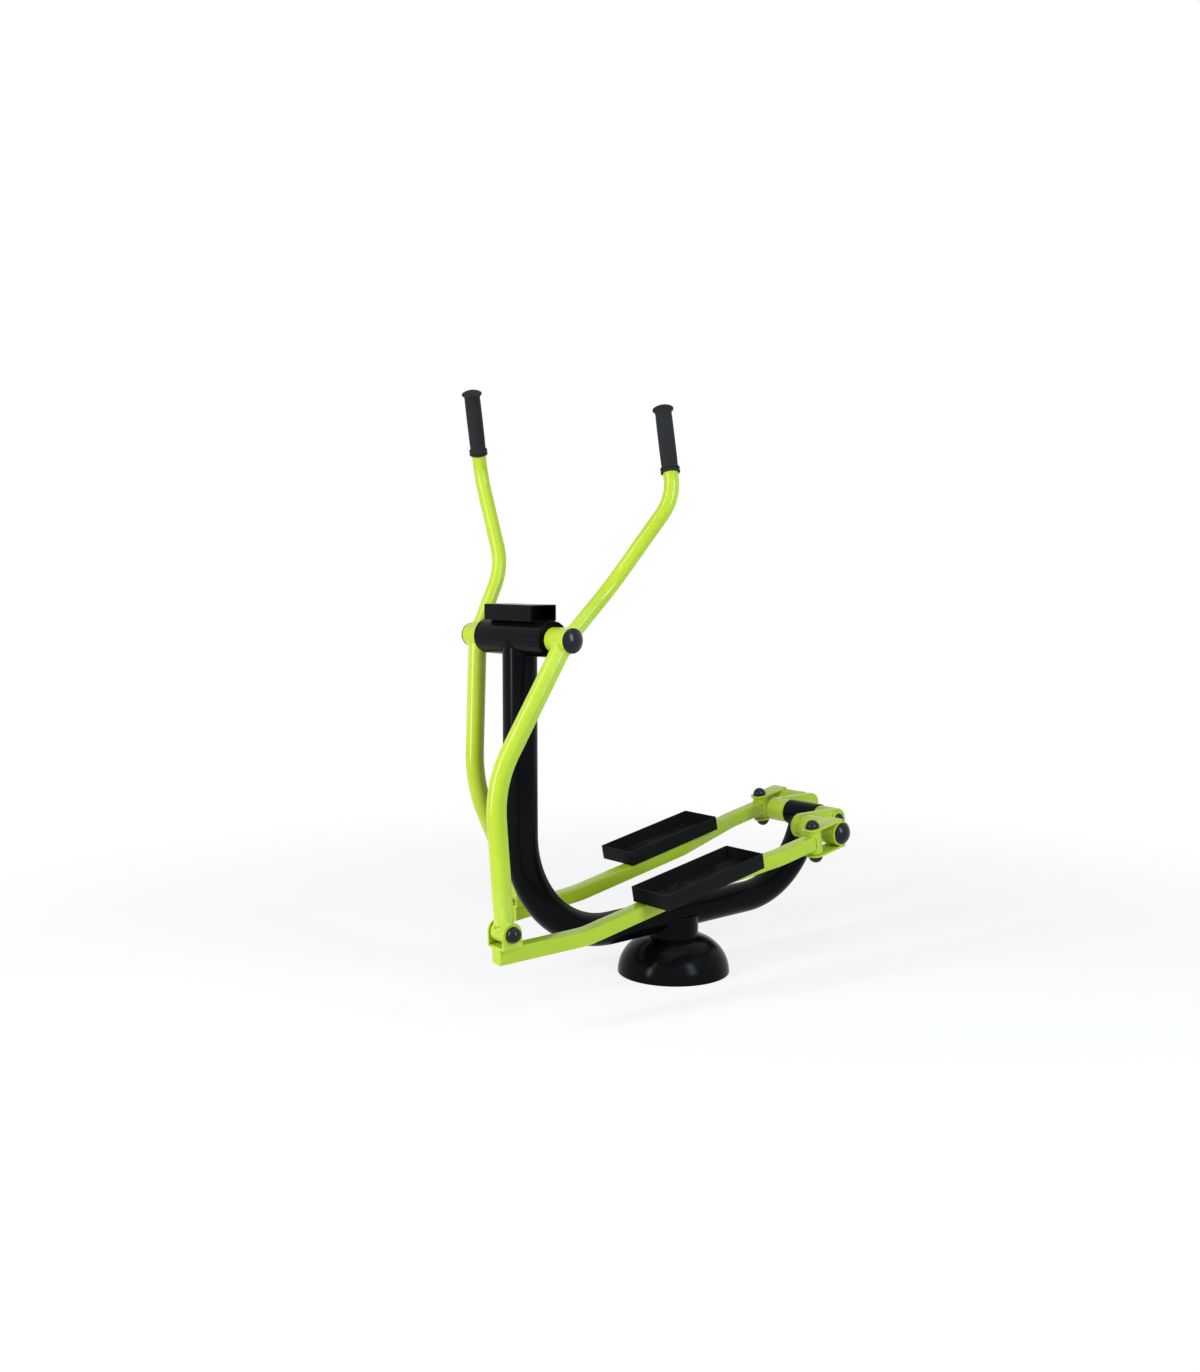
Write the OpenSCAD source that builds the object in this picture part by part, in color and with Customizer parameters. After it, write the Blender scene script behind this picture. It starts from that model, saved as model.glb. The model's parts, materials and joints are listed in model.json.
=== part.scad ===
// Outdoor cross trainer: two swinging handles, two pedal arms and a crank, carried by one
// bent steel beam on a single ground post.
// +X is forward, +Y is the user's left and +Z is up. The origin lies on the ground, under
// the middle of the post. All sizes are in millimetres and all angles in degrees.

/* [Base] */
// Room between the dome cover and the edge of the steel flange under it
flange_gap = 10; // [6:0.5:20]
// Thickness of the flange
flange_t = 12; // [8:1:20]
// Number of anchor holes
anchor_count = 6; // [4:1:8]
// Distance from the flange's edge to the middle of an anchor hole
anchor_edge = 30; // [20:1:34]
// Diameter of an anchor hole
anchor_hole_d = 14; // [10:1:18]
// Number of ribs between the post and the flange
rib_count = 6; // [4:1:8]
// Thickness of a rib
rib_t = 6; // [4:1:10]
// Height of a rib along the post
rib_h = 62; // [40:1:70]
// Distance from the flange's edge to the end of a rib
rib_edge = 15; // [8:1:30]
// Diameter of the dome cover where it meets the ground
dome_d = 316; // [310:1:340]
// Height at which the dome cover meets the post
dome_h = 103; // [95:1:112]
// Radius of the dome cover's rounded side
dome_side_r = 105; // [100:1:130]
// Thickness of the dome cover
dome_wall = 3; // [2:0.5:5]
// Gap between the dome cover and the post
dome_gap = 0.3; // [0.2:0.1:0.8]

/* [Ground post] */
// Outer diameter of the ground post
post_d = 139.7; // [130:0.1:142]
// Wall of the ground post
post_wall = 5; // [3:0.5:8]
// Thickness of the lid that closes the post round the beam
post_lid_t = 6; // [4:1:10]
// Depth of the post's top below the beam's centre line
post_top_drop = 2; // [0:1:30]

/* [Main beam] */
// Outer diameter of the beam
beam_d = 88.9; // [80:0.1:90]
// Wall of the beam
beam_wall = 4; // [3:0.5:6]
// Distance of the column's axis in front of the ground post
column_x = 530; // [500:1:560]
// Height of the beam's centre line under the column
beam_low_z = 156; // [150:1:170]
// Rise of the beam's long straight towards the rear
beam_rise = 1; // [0:0.5:3]
// Radius of the bend under the column
front_bend_r = 292; // [250:1:320]
// Radius of the bend under the crank
rear_bend_r = 266; // [230:1:268]
// Slope of the beam's end under the crank
rear_slope = 74.6; // [72:0.1:80]
// Distance of the crank's axis behind the ground post
rear_x = 540; // [530:1:560]
// Height of the crank's axis
rear_z = 387; // [380:1:400]
// Distance from the crank's axis to the beam's closed end
beam_end_drop = 14; // [8:1:20]
// Thickness of the plate that closes the beam's end
beam_lid_t = 5; // [3:1:8]

/* [Top pivot] */
// Height of the handles' axis
top_z = 961; // [940:1:1000]
// Outer diameter of the housing across the column's top
housing_d = 91; // [90.5:0.5:100]
// Wall of that housing
housing_wall = 5; // [3:0.5:8]
// Length of that housing with its end plates
housing_len = 282; // [270:1:300]
// Thickness of an end plate
plate_t = 8; // [5:1:12]
// Length of an end plate's spigot inside the housing
plate_spigot = 6; // [3:1:12]
// Diameter of the shaft that carries both handles
shaft_d = 25; // [20:1:25]
// Length of the open box on top of the housing
box_len = 200; // [150:1:260]
// Width of the box
box_w = 80; // [60:1:90]
// Height of the box
box_h = 41; // [30:1:60]
// Wall of the box
box_wall = 4; // [3:0.5:6]
// Depth by which the box is cut onto the housing
box_sink = 2; // [1:0.5:2.5]

/* [Handle hubs] */
// Gap between the housing's end and a hub
hub_gap = 2; // [1:0.5:4]
// Outer diameter of a hub
hub_d = 62; // [60:1:70]
// Length of a hub
hub_len = 74; // [70:1:90]
// Outer diameter of a hub's ball bearing
hub_bearing_d = 52; // [47:1:52]
// Width of a hub's ball bearing
hub_bearing_w = 15; // [12:1:18]
// Depth of the bearing in the hub's inner end
hub_seat_in = 2; // [1:0.5:3]
// Depth of the bearing in the hub's outer end
hub_seat_out = 13; // [12:0.5:18]
// Shoulder between a bearing's seat and the hub's middle bore
bearing_step = 3; // [2:0.5:4]
// Width across the flats of the shaft's nuts
shaft_nut_af = 36; // [30:1:36]
// Thickness of the shaft's nuts
shaft_nut_t = 9; // [6:1:11]
// Outer diameter of the spacers beside the housing
spacer_d = 34; // [30:1:40]
// Height of a hub's domed cap
hub_cap_h = 15; // [10:1:24]

/* [Handles] */
// Sideways place of the lower tube at the hub
lower_start_y = 190; // [185:1:192]
// Sideways place of the lower tube at its bend
lower_bend_y = 160; // [155:1:185]
// Distance of the lower tube's bend in front of the line between its two pivots
lower_bend_x = 100; // [60:1:120]
// Depth of the lower tube's bend under the handles' axis
lower_bend_z = 377; // [340:1:400]
// Radius of the lower tube's bend
lower_bend_r = 300; // [150:1:340]
// Distance between the handles' axis and the pedal arm's pivot
handle_len = 717; // [700:1:735]
// Outer diameter of the lower tube
lower_tube_d = 48.3; // [42:0.1:49]
// Wall of the lower tube
lower_tube_wall = 3; // [2:0.5:5]
// Sideways place of the upper tube at the hub
upper_start_y = 196; // [190:1:198]
// First bend of the upper tube: distance behind the pivots' line
upper_bend_x = 108; // [90:1:130]
// First bend of the upper tube: sideways place
upper_bend_y = 189; // [180:1:200]
// First bend of the upper tube: height over the handles' axis
upper_bend_z = 164; // [140:1:190]
// Radius of the first bend
upper_bend_r = 190; // [120:1:220]
// Second bend of the upper tube: distance behind the pivots' line
neck_x = 158; // [140:1:175]
// Second bend of the upper tube: sideways place
neck_y = 298; // [280:1:315]
// Depth of the second bend under the top of the grip
neck_drop = 223; // [215:1:240]
// Radius of the second bend
neck_r = 120; // [80:1:130]
// Top of the grip: distance behind the pivots' line
grip_top_x = 122; // [100:1:150]
// Top of the grip: sideways place
grip_top_y = 233; // [215:1:270]
// Top of the grip: height over the handles' axis
grip_top_z = 623; // [600:1:650]
// Outer diameter of the upper tube
upper_tube_d = 38; // [32:0.5:38]
// Wall of the upper tube
upper_tube_wall = 2.5; // [2:0.5:4]

/* [Grips] */
// Length of a grip
grip_len = 170; // [120:1:175]
// Outer diameter of a grip
grip_d = 42; // [41:0.5:46]
// Diameter of the grip's rounded end flange
grip_flange_d = 53; // [48:1:60]
// Height of the end flange's straight edge
grip_flange_t = 4; // [2:0.5:8]
// Height of the end flange's rounded top
grip_crown_h = 8; // [4:0.5:12]
// Thickness of rubber over the tube's end
grip_end_t = 4; // [2:0.5:6]
// Diameter of the two ridges at the grip's lower end
grip_ridge_d = 49; // [46:0.5:54]
// Width of one ridge
grip_ridge_w = 5; // [3:0.5:8]
// Space between the two ridges
grip_ridge_gap = 4; // [2:0.5:8]

/* [Pedal arm pivot] */
// Sideways place of the handle's lower pivot
pivot_y = 184; // [182:1:192]
// Outer diameter of the sleeve at the handle's lower end
sleeve_d = 50; // [49.5:0.5:52]
// Length of that sleeve
sleeve_len = 49; // [48:1:56]
// Outer diameter of the bronze bushes
bush_d = 30; // [24:1:34]
// Length of a bush inside the sleeve
bush_len = 18; // [12:1:20]
// Diameter of a bush's collar
bush_collar_d = 40; // [36:1:46]
// Thickness of a bush's collar
bush_collar_t = 2; // [1:0.5:3]
// Diameter of the joint bolts
bolt_d = 16; // [12:1:16]
// Width across the flats of the joint bolts' heads and nuts
bolt_head_af = 24; // [20:1:24]
// Thickness of the joint bolts' heads and nuts
bolt_head_t = 7.5; // [5:0.5:8]
// Radial clearance of a running fit
running_gap = 0.05; // [0.02:0.01:0.1]
// Gap between flat faces that turn past each other
face_gap = 0.5; // [0.3:0.1:1]
// Thickness of the bracket's ears
ear_t = 6; // [4:1:10]
// Radius of the bracket's ears
ear_r = 28; // [26:0.5:32]
// Thickness of the bracket's base
bracket_base_t = 5; // [4:1:8]
// Diameter of the domed caps over the joint bolts
cap_d = 40; // [38:1:44]
// Height of the domed caps
cap_h = 22; // [15:0.5:23]
// Wall of all domed caps
cap_wall = 2.5; // [1.5:0.5:3]

/* [Pedal arms] */
// Side of the pedal arm's square tube
arm_w = 40; // [36:1:42]
// Wall of the square tube
arm_wall = 3; // [2:0.5:4]
// Depth of the tube's centre line under the pivot
arm_drop = 55; // [54:1:64]
// Distance from the pivot to the tube's front end
arm_nose = 26; // [24:1:40]
// Distance from the pivot back to the tube's bend
arm_bend_x = 225; // [190:1:250]
// Angle of the tube's bend
arm_bend = 8; // [5:0.5:11]
// Radius of the tube's bend
arm_bend_r = 250; // [120:5:400]
// Sideways place of the tube's middle, from that bend back
arm_y = 206; // [200:0.5:208]
// Distance from that bend back to where the tube turns outwards
arm_out_x = 402; // [396:1:412]
// Distance from that bend back to where it runs straight again
arm_back_x = 654; // [640:1:670]
// Radius of the two sideways bends
arm_side_r = 120; // [100:5:150]
// Distance from the bend to the crank pin
arm_rear_len = 889; // [860:1:900]
// Distance between the swivel and the crank pin
swivel_gap = 87; // [80:1:100]
// Sideways place of the swivel
swivel_y = 250; // [244:1:256]

/* [Foot trays] */
// Length of a foot tray
tray_len = 348; // [300:1:380]
// Width of a foot tray
tray_w = 140; // [120:1:160]
// Height of a foot tray
tray_h = 41; // [30:1:60]
// Wall of a foot tray
tray_wall = 3; // [2:0.5:5]
// Radius of a foot tray's corners
tray_corner_r = 4; // [3.5:0.5:10]
// Distance from the arm's bend to the tray's front
tray_front_x = 190; // [170:1:210]
// Clearance between the arm's tube and the tray's floor
tray_gap = 0.2; // [0.15:0.05:0.5]
// Sideways place of the tray's inner side
tray_inner_y = 176; // [172:0.5:184]
// Number of bolts that hold a tray
tray_bolt_count = 3; // [2:1:5]
// Distance from the tray's front to its first bolt
tray_bolt_start = 95; // [40:1:100]
// Distance between the tray's bolts
tray_bolt_pitch = 50; // [40:1:80]
// Diameter of the tray's bolts
tray_bolt_d = 8; // [6:1:8]
// Diameter of the tray bolts' round heads
tray_head_d = 16; // [14:1:20]
// Height of the tray bolts' round heads
tray_head_h = 4; // [3:0.5:6]
// Width across the flats of the tray's nuts
tray_nut_af = 13; // [13:1:16]
// Thickness of the tray's nuts
tray_nut_t = 6; // [4:0.5:8]
// Clearance of the holes for the tray's bolts, on the radius
tray_hole_gap = 0.25; // [0.1:0.05:0.5]

/* [Swivel forks] */
// Outer diameter of the swivel's upright sleeve
swivel_d = 44; // [43:0.5:48]
// Length of the swivel's sleeve
swivel_len = 68; // [60:1:69]
// Thickness of a fork strap
strap_t = 6; // [4:0.5:8]
// Width of a fork strap
strap_w = 56; // [50:1:60]
// Length of a strap past the crank pin's axis
strap_tail = 10; // [2:1:14]
// Outer diameter of the crank pin's sleeve
pin_sleeve_d = 70; // [70:0.5:76]
// Sideways place of the pin sleeve's outer end
pin_sleeve_out = 278; // [270:1:290]
// Diameter of the crank pin
pin_d = 25; // [20:1:25]
// Outer diameter of the crank pin's bearings
pin_bearing_d = 47; // [44:1:52]
// Width of the crank pin's bearings
pin_bearing_w = 12; // [10:1:16]
// Depth of the bearing in the sleeve's inner end
pin_seat_in = 2; // [1:0.5:6]
// Depth of the bearing in the sleeve's outer end
pin_seat_out = 12; // [10:0.5:20]
// Thickness of the crank pin's nut
pin_nut_t = 8; // [5:0.5:9]
// Diameter of the cap on the pin sleeve
pin_cap_d = 61; // [56:1:66]
// Height of the cap on the pin sleeve
pin_cap_h = 18; // [12:1:24]
// Length of the round spigots of the large caps
cap_spigot = 5; // [3:0.5:6]
// Wall of those spigots
cap_spigot_wall = 2; // [1:0.5:2]

/* [Crank] */
// Radius of the crank
crank_r = 150; // [145:1:155]
// Outer diameter of the crank's housing
rear_housing_d = 76; // [72:0.5:80]
// Length of the crank's housing
rear_housing_len = 118; // [110:1:126]
// Outer diameter of the housing's bearings
rear_bearing_d = 62; // [55:1:62]
// Width of the housing's bearings
rear_bearing_w = 16; // [12:1:20]
// Depth of the bearings in the housing's ends
rear_seat = 2; // [1:0.5:4]
// Diameter of the crank's shaft
crank_shaft_d = 30; // [25:1:30]
// Gap between the housing and a crank's hub
crank_gap = 1; // [0.5:0.5:2]
// Diameter of a crank's hub and round ends
crank_d = 70; // [60:1:72]
// Sideways place of a crank's outer face
crank_out_y = 129; // [125:1:130]
// Thickness of a crank's plate
crank_t = 17; // [12:1:22]
// Diameter of the raised ring at the crank's hub
crank_ring_d = 56; // [50:1:60]
// Height of that raised ring
crank_ring_t = 5; // [3:1:6]
// Diameter of the cap on the crank's hub
crank_cap_d = 41; // [38:1:46]
// Height of the cap on the crank's hub
crank_cap_h = 12.5; // [10:0.5:12.5]
// Diameter of the boss that holds the crank pin
pin_boss_d = 60; // [50:1:66]
// Sideways place of that boss's outer end
pin_boss_out = 147; // [147:0.5:147.5]
// Gap between that boss and the fork's sleeve
pin_gap = 0.3; // [0.3:0.1:1]
// Depth of the shaft's end below the crank's outer face
shaft_end_drop = 7; // [6:0.5:10]
// Thickness of the washers on the shaft's ends
end_washer_t = 4; // [3:0.5:5]
// Diameter of the screws in the shaft's ends
end_screw_d = 10; // [8:1:12]
// Length of those screws inside the shaft
end_screw_len = 30; // [20:1:40]
// Width across the flats of those screws' heads
end_screw_af = 16; // [13:1:18]
// Thickness of those screws' heads
end_screw_head = 6; // [4:0.5:7]

/* [Hidden] */
$fn = 96;

black_coat = "#1b1d1f";
lime_coat = "#b2cc34";
tray_black = "#161616";
cap_black = "#14161c";
grip_rubber = "#2d2e30";
bare_steel = "#a9adb0";
bronze = "#b08d57";

// Extra reach of a cutting shape past the face that it cuts
past = 1;
// Reach of a cutting shape that has to clear a whole piece
far = 400;
// Hairline seam between the straight and bent lengths of a tube
tube_seam = 0.02;

function unit(v) = v / norm(v);

// The point where two circles meet, to the left of the way from a to b when side is 1
function circles_meet(a, ra, b, rb, side) =
    let (d = norm(b - a))
    let (along = (ra * ra - rb * rb + d * d) / (2 * d))
    let (aside = sqrt(ra * ra - along * along))
    let (e = (b - a) / d)
    a + e * along + side * aside * [-e[1], e[0]];

// The point where a line through p along u meets a line through q along v
function lines_meet(p, u, q, v) = p + u * cross(q - p, v) / cross(u, v);

// Side view of the beam, as [x, z]
column_foot = [column_x, beam_low_z];
straight_way = [-cos(beam_rise), sin(beam_rise)];
end_way = [-cos(rear_slope), sin(rear_slope)];
rear_axis = [-rear_x, rear_z];
rear_corner = lines_meet(column_foot, straight_way, rear_axis, end_way);
beam_over_post = beam_low_z + column_x * tan(beam_rise);
post_top = beam_over_post - post_top_drop;
dome_reach = post_d / 2 + dome_gap;
flange_d = dome_d - 2 * (dome_wall + flange_gap);
anchor_pcd = flange_d - 2 * anchor_edge;
dome_centre = circles_meet([dome_d / 2, 0], dome_side_r, [dome_reach, dome_h], dome_side_r, 1);

// Side view of the linkage, as [x, z], with the left crank pointing forward
top_axis = [column_x, top_z];
arm_corner = [-arm_bend_x, -arm_drop];
arm_way = [-cos(arm_bend), sin(arm_bend)];
arm_pin = arm_corner + arm_rear_len * arm_way;
arm_swivel = arm_corner + (arm_rear_len - swivel_gap) * arm_way;
arm_len = norm(arm_pin);
arm_line = atan2(arm_pin[1], -arm_pin[0]);
arm_yaw = atan2(arm_y - pivot_y, arm_bend_x);

// A point of an arm's own frame, x back from its bend along the sloping rear and y to the side
function rear_at(x, y) = [arm_corner[0] + x * arm_way[0], y, arm_corner[1] + x * arm_way[1]];
function crank_pin_at(side) = rear_axis + [side * crank_r, 0];
function pivot_at(side) = circles_meet(top_axis, handle_len, crank_pin_at(side), arm_len, 1);
function handle_lean(side) =
    let (p = pivot_at(side) - top_axis)
    atan2(p[0], -p[1]);
function arm_pitch(side) =
    let (w = crank_pin_at(side) - pivot_at(side))
    atan2(w[1], -w[0]) - arm_line;

// Sideways places
housing_end = housing_len / 2;
hub_in = housing_end + hub_gap;
hub_out = hub_in + hub_len;
sleeve_face = sleeve_len / 2 + bush_collar_t;
ear_in = sleeve_face + face_gap;
ear_out = ear_in + ear_t;
bracket_top = -(arm_drop - arm_w / 2);
strap_in = swivel_len / 2 + face_gap;
strap_out = strap_in + strap_t;
pin_sleeve_in = pin_boss_out + pin_gap;
rear_end = rear_housing_len / 2;
crank_in = rear_end + crank_gap;
ring_out = crank_out_y + crank_ring_t;
tray_floor_z = arm_w / 2 + tray_gap;
tray_bolt_xs = [for (i = [0 : tray_bolt_count - 1]) tray_front_x + tray_bolt_start + i * tray_bolt_pitch];

echo(top_axis = top_axis, rear_axis = rear_axis);
echo(left_pivot = pivot_at(1), right_pivot = pivot_at(-1));
echo(left_lean = handle_lean(1), right_lean = handle_lean(-1));
echo(left_pitch = arm_pitch(1), right_pitch = arm_pitch(-1));
echo(arm_len = arm_len, arm_line = arm_line, arm_swivel = arm_swivel, arm_yaw = arm_yaw);

// Places its children with their Z along the way and their Y as near to up as it can be
module facing(at, way, up) {
    w = unit(way);
    v = unit(up - w * (w * up));
    u = cross(v, w);
    multmatrix([
        [u[0], v[0], w[0], at[0]],
        [u[1], v[1], w[1], at[1]],
        [u[2], v[2], w[2], at[2]],
        [0, 0, 0, 1]
    ]) children();
}

// A straight length of the 2D profile given as a child
module straight_run(from, to, up) {
    facing(from, to - from, up) linear_extrude(norm(to - from)) children();
}

// The direction towards which a way turns to become the next one
function inward_of(way, next_way) = unit(next_way - way * (way * next_way));

// One straight, one bend and then the rest of a bent tube, each in the frame of the one before,
// with its Z along the tube and its X towards the inside of the bend
module bent_chain(lens, turns, radii, planes, twist, i) {
    start = i > 0 ? tube_seam : 0;
    end = i < len(turns) ? tube_seam : 0;
    translate([0, 0, start]) linear_extrude(lens[i] - start - end) rotate(twist) children();
    if (i < len(turns)) {
        next_twist = twist - planes[i];
        translate([0, 0, lens[i]]) rotate(planes[i]) {
            translate([radii[i], 0, 0]) rotate([90, 0, 180]) rotate_extrude(angle = turns[i])
                translate([radii[i], 0]) rotate(180 - next_twist) children();
            translate([radii[i], 0, 0]) rotate([0, turns[i], 0]) translate([-radii[i], 0, 0])
                bent_chain(lens, turns, radii, planes, next_twist, i + 1) children();
        }
    }
}

// The 2D profile given as a child, along straights and bends through the given points, with one
// radius for each inner point and the profile's Y as near to up as it can be
module bent_run(points, radii, up) {
    ways = [for (i = [0 : len(points) - 2]) unit(points[i + 1] - points[i])];
    turns = [for (i = [0 : len(radii) - 1]) acos(ways[i] * ways[i + 1])];
    cuts = [for (i = [0 : len(radii) - 1]) radii[i] * tan(turns[i] / 2)];
    inward = [for (i = [0 : len(radii) - 1]) inward_of(ways[i], ways[i + 1])];
    lens = [for (i = [0 : len(radii)])
        norm(points[i + 1] - points[i]) - (i > 0 ? cuts[i - 1] : 0)
        - (i < len(radii) ? cuts[i] : 0)];
    planes = [for (i = [0 : len(radii) - 1])
        i == 0 ? 0
        : let (x = inward[i - 1] * cos(turns[i - 1]) - ways[i - 1] * sin(turns[i - 1]))
            atan2(inward[i] * cross(ways[i], x), inward[i] * x)];
    first_y = cross(ways[0], inward[0]);
    twist = atan2(up * first_y, up * inward[0]) - 90;
    facing(points[0], ways[0], first_y)
        bent_chain(lens, turns, radii, planes, twist, 0) children();
}

// A bent round tube
module bent_tube(points, radii, d, wall, up) {
    bent_run(points, radii, up) ring(d, wall);
}

module ring(d, wall) {
    difference() {
        circle(d = d);
        circle(d = d - 2 * wall);
    }
}

module square_ring(w, wall) {
    difference() {
        square(w, center = true);
        square(w - 2 * wall, center = true);
    }
}

// A round bar along Y between two sideways places
module bar_y(d, from, to) {
    translate([0, from, 0]) rotate([-90, 0, 0]) cylinder(d = d, h = to - from);
}

// A ring along Y between two sideways places
module ring_y(d, bore, from, to) {
    difference() {
        bar_y(d, from, to);
        bar_y(bore, from - past, to + past);
    }
}

// A hexagon along Z, without rounded corners
module hexagon(af, t) {
    cylinder(d = af / cos(30), h = t, $fn = 6);
}

// A rectangle with round corners, made of squares and circles
module round_rect(l, w, r) {
    square([l - 2 * r, w], center = true);
    square([l, w - 2 * r], center = true);
    for (x = [-1, 1], y = [-1, 1])
        translate([x * (l / 2 - r), y * (w / 2 - r)]) circle(r);
}

// The filled half profile of a round cap of the given base and height
module cap_profile(d, h) {
    r = (d * d / 4 + h * h) / (2 * h);
    intersection() {
        translate([0, h - r]) circle(r);
        square([d, h + past]);
    }
}

// A hollow round cap on the XY plane, with an optional spigot below it
module dome_cap(d, h, wall, spigot_d = 0, spigot_len = 0) {
    rotate_extrude() difference() {
        cap_profile(d, h);
        cap_profile(d - 2 * wall, h - wall);
    }
    if (spigot_len > 0)
        translate([0, 0, -spigot_len]) linear_extrude(spigot_len)
            ring(spigot_d, cap_spigot_wall);
    if (spigot_len > 0)
        linear_extrude(wall) ring(d - wall, (d - spigot_d) / 2 + cap_spigot_wall);
}

// Mirrors its children to the right side when side is -1
module on_side(side) {
    if (side > 0)
        children();
    else
        mirror([0, 1, 0]) children();
}

// The frame of a handle: its origin on the top axis, with the lower pivot straight below
module on_handle(side) {
    translate([column_x, 0, top_z]) rotate([0, -handle_lean(side), 0]) on_side(side) children();
}

// The frame of a pedal arm: its origin on the lower pivot, with the front straight along X
module on_arm(side) {
    p = pivot_at(side);
    translate([p[0], 0, p[1]]) rotate([0, arm_pitch(side), 0]) on_side(side) children();
}

// The frame of an arm's sloping rear length: its origin at the bend
module on_arm_rear(side) {
    on_arm(side) translate([arm_corner[0], 0, arm_corner[1]]) rotate([0, arm_bend, 0]) children();
}

// The frame of a fork: its origin on the swivel's axis, with the crank pin straight behind
module on_fork(side) {
    on_arm_rear(side) translate([swivel_gap - arm_rear_len, swivel_y, 0]) children();
}

// The frame of a crank pin, with sideways places measured from the machine's middle
module on_pin(side) {
    on_arm_rear(side) translate([-arm_rear_len, 0, 0]) children();
}

// A bolt through a joint along Z, with a head above and a nut below
module joint_bolt(half) {
    cylinder(d = bolt_d, h = 2 * half, center = true);
    for (s = [0, 1])
        mirror([0, 0, s]) translate([0, 0, half]) hexagon(bolt_head_af, bolt_head_t);
}

module base_flange() {
    color(black_coat) linear_extrude(flange_t) difference() {
        circle(d = flange_d);
        for (i = [0 : anchor_count - 1])
            rotate(i * 360 / anchor_count) translate([anchor_pcd / 2, 0]) circle(d = anchor_hole_d);
    }
}

module base_ribs() {
    color(black_coat) for (i = [0 : rib_count - 1])
        rotate((i + 0.5) * 360 / rib_count) difference() {
            translate([0, rib_t / 2, flange_t]) rotate([90, 0, 0]) linear_extrude(rib_t)
                polygon([[0, 0], [flange_d / 2 - rib_edge, 0], [post_d / 2, rib_h], [0, rib_h]]);
            cylinder(d = post_d, h = far);
        }
}

module base_dome() {
    color(black_coat) rotate_extrude() intersection() {
        translate(dome_centre) difference() {
            circle(dome_side_r);
            circle(dome_side_r - dome_wall);
        }
        translate([dome_reach, 0]) square([dome_d, 2 * dome_h]);
    }
}

module ground_post() {
    color(black_coat) difference() {
        union() {
            translate([0, 0, flange_t]) linear_extrude(post_top - flange_t) ring(post_d, post_wall);
            translate([0, 0, post_top - post_lid_t]) cylinder(d = post_d - post_wall, h = post_lid_t);
        }
        straight_run(
            [column_x, 0, beam_low_z],
            [rear_corner[0], 0, rear_corner[1]],
            [0, 1, 0]
        ) circle(d = beam_d);
    }
}

module main_beam() {
    beam_end = rear_axis - beam_end_drop * end_way;
    lid_foot = beam_end - beam_lid_t * end_way;
    color(black_coat) difference() {
        union() {
            bent_tube(
                [
                    [column_x, 0, top_z],
                    [column_foot[0], 0, column_foot[1]],
                    [rear_corner[0], 0, rear_corner[1]],
                    [beam_end[0], 0, beam_end[1]]
                ],
                [front_bend_r, rear_bend_r],
                beam_d,
                beam_wall,
                [0, 1, 0]
            );
            straight_run([lid_foot[0], 0, lid_foot[1]], [beam_end[0], 0, beam_end[1]], [0, 1, 0])
                circle(d = beam_d - 2 * beam_wall - 2 * tube_seam);
        }
        translate([column_x, 0, top_z]) bar_y(housing_d, -far, far);
        translate([rear_axis[0], 0, rear_axis[1]]) bar_y(rear_housing_d, -far, far);
    }
}

module top_housing() {
    half = housing_end - plate_t;
    color(black_coat) translate([column_x, 0, top_z])
        ring_y(housing_d, housing_d - 2 * housing_wall, -half, half);
}

module housing_plates() {
    color(black_coat) translate([column_x, 0, top_z]) for (side = [1, -1])
        on_side(side) difference() {
            union() {
                bar_y(housing_d, housing_end - plate_t, housing_end);
                bar_y(housing_d - 2 * housing_wall, housing_end - plate_t - plate_spigot, housing_end);
            }
            bar_y(shaft_d, 0, far);
        }
}

module top_box() {
    base = housing_d / 2 - box_sink;
    color(black_coat) translate([column_x, 0, top_z]) difference() {
        translate([0, box_len / 2, base + box_h / 2]) rotate([90, 0, 0]) linear_extrude(box_len)
            difference() {
                square([box_w, box_h], center = true);
                square([box_w - 2 * box_wall, box_h - 2 * box_wall], center = true);
            }
        bar_y(housing_d, -far, far);
    }
}

module top_shaft() {
    half = hub_out - hub_seat_out + shaft_nut_t + past;
    color(bare_steel) translate([column_x, 0, top_z]) bar_y(shaft_d, -half, half);
}

module top_shaft_nuts() {
    bearing_start = hub_in + hub_seat_in;
    nut_start = hub_out - hub_seat_out + face_gap / 2;
    color(bare_steel) translate([column_x, 0, top_z]) for (side = [1, -1])
        on_side(side) {
            ring_y(spacer_d, shaft_d, housing_end, bearing_start - face_gap / 2);
            difference() {
                translate([0, nut_start, 0]) rotate([-90, 0, 0]) hexagon(shaft_nut_af, shaft_nut_t);
                bar_y(shaft_d, 0, far);
            }
        }
}

module rear_housing() {
    seat = rear_seat + rear_bearing_w;
    color(black_coat) translate([rear_axis[0], 0, rear_axis[1]]) difference() {
        bar_y(rear_housing_d, -rear_end, rear_end);
        bar_y(rear_bearing_d - 2 * bearing_step, -far, far);
        for (side = [1, -1])
            on_side(side) bar_y(rear_bearing_d, rear_end - seat, rear_end + past);
    }
}

module rear_bearings() {
    color(bare_steel) translate([rear_axis[0], 0, rear_axis[1]]) for (side = [1, -1])
        on_side(side) ring_y(
            rear_bearing_d,
            crank_shaft_d + 2 * running_gap,
            rear_end - rear_seat - rear_bearing_w,
            rear_end - rear_seat
        );
}

module crank_shaft() {
    half = crank_out_y - shaft_end_drop;
    color(bare_steel) translate([rear_axis[0], 0, rear_axis[1]]) {
        difference() {
            bar_y(crank_shaft_d, -half, half);
            for (side = [1, -1])
                on_side(side) bar_y(end_screw_d, half - end_screw_len, half + past);
        }
        for (side = [1, -1])
            on_side(side) {
                ring_y(crank_shaft_d, end_screw_d, half, half + end_washer_t);
                bar_y(end_screw_d, half - end_screw_len, half + end_washer_t);
                translate([0, half + end_washer_t, 0]) rotate([-90, 0, 0])
                    hexagon(end_screw_af, end_screw_head);
            }
    }
}

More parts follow.
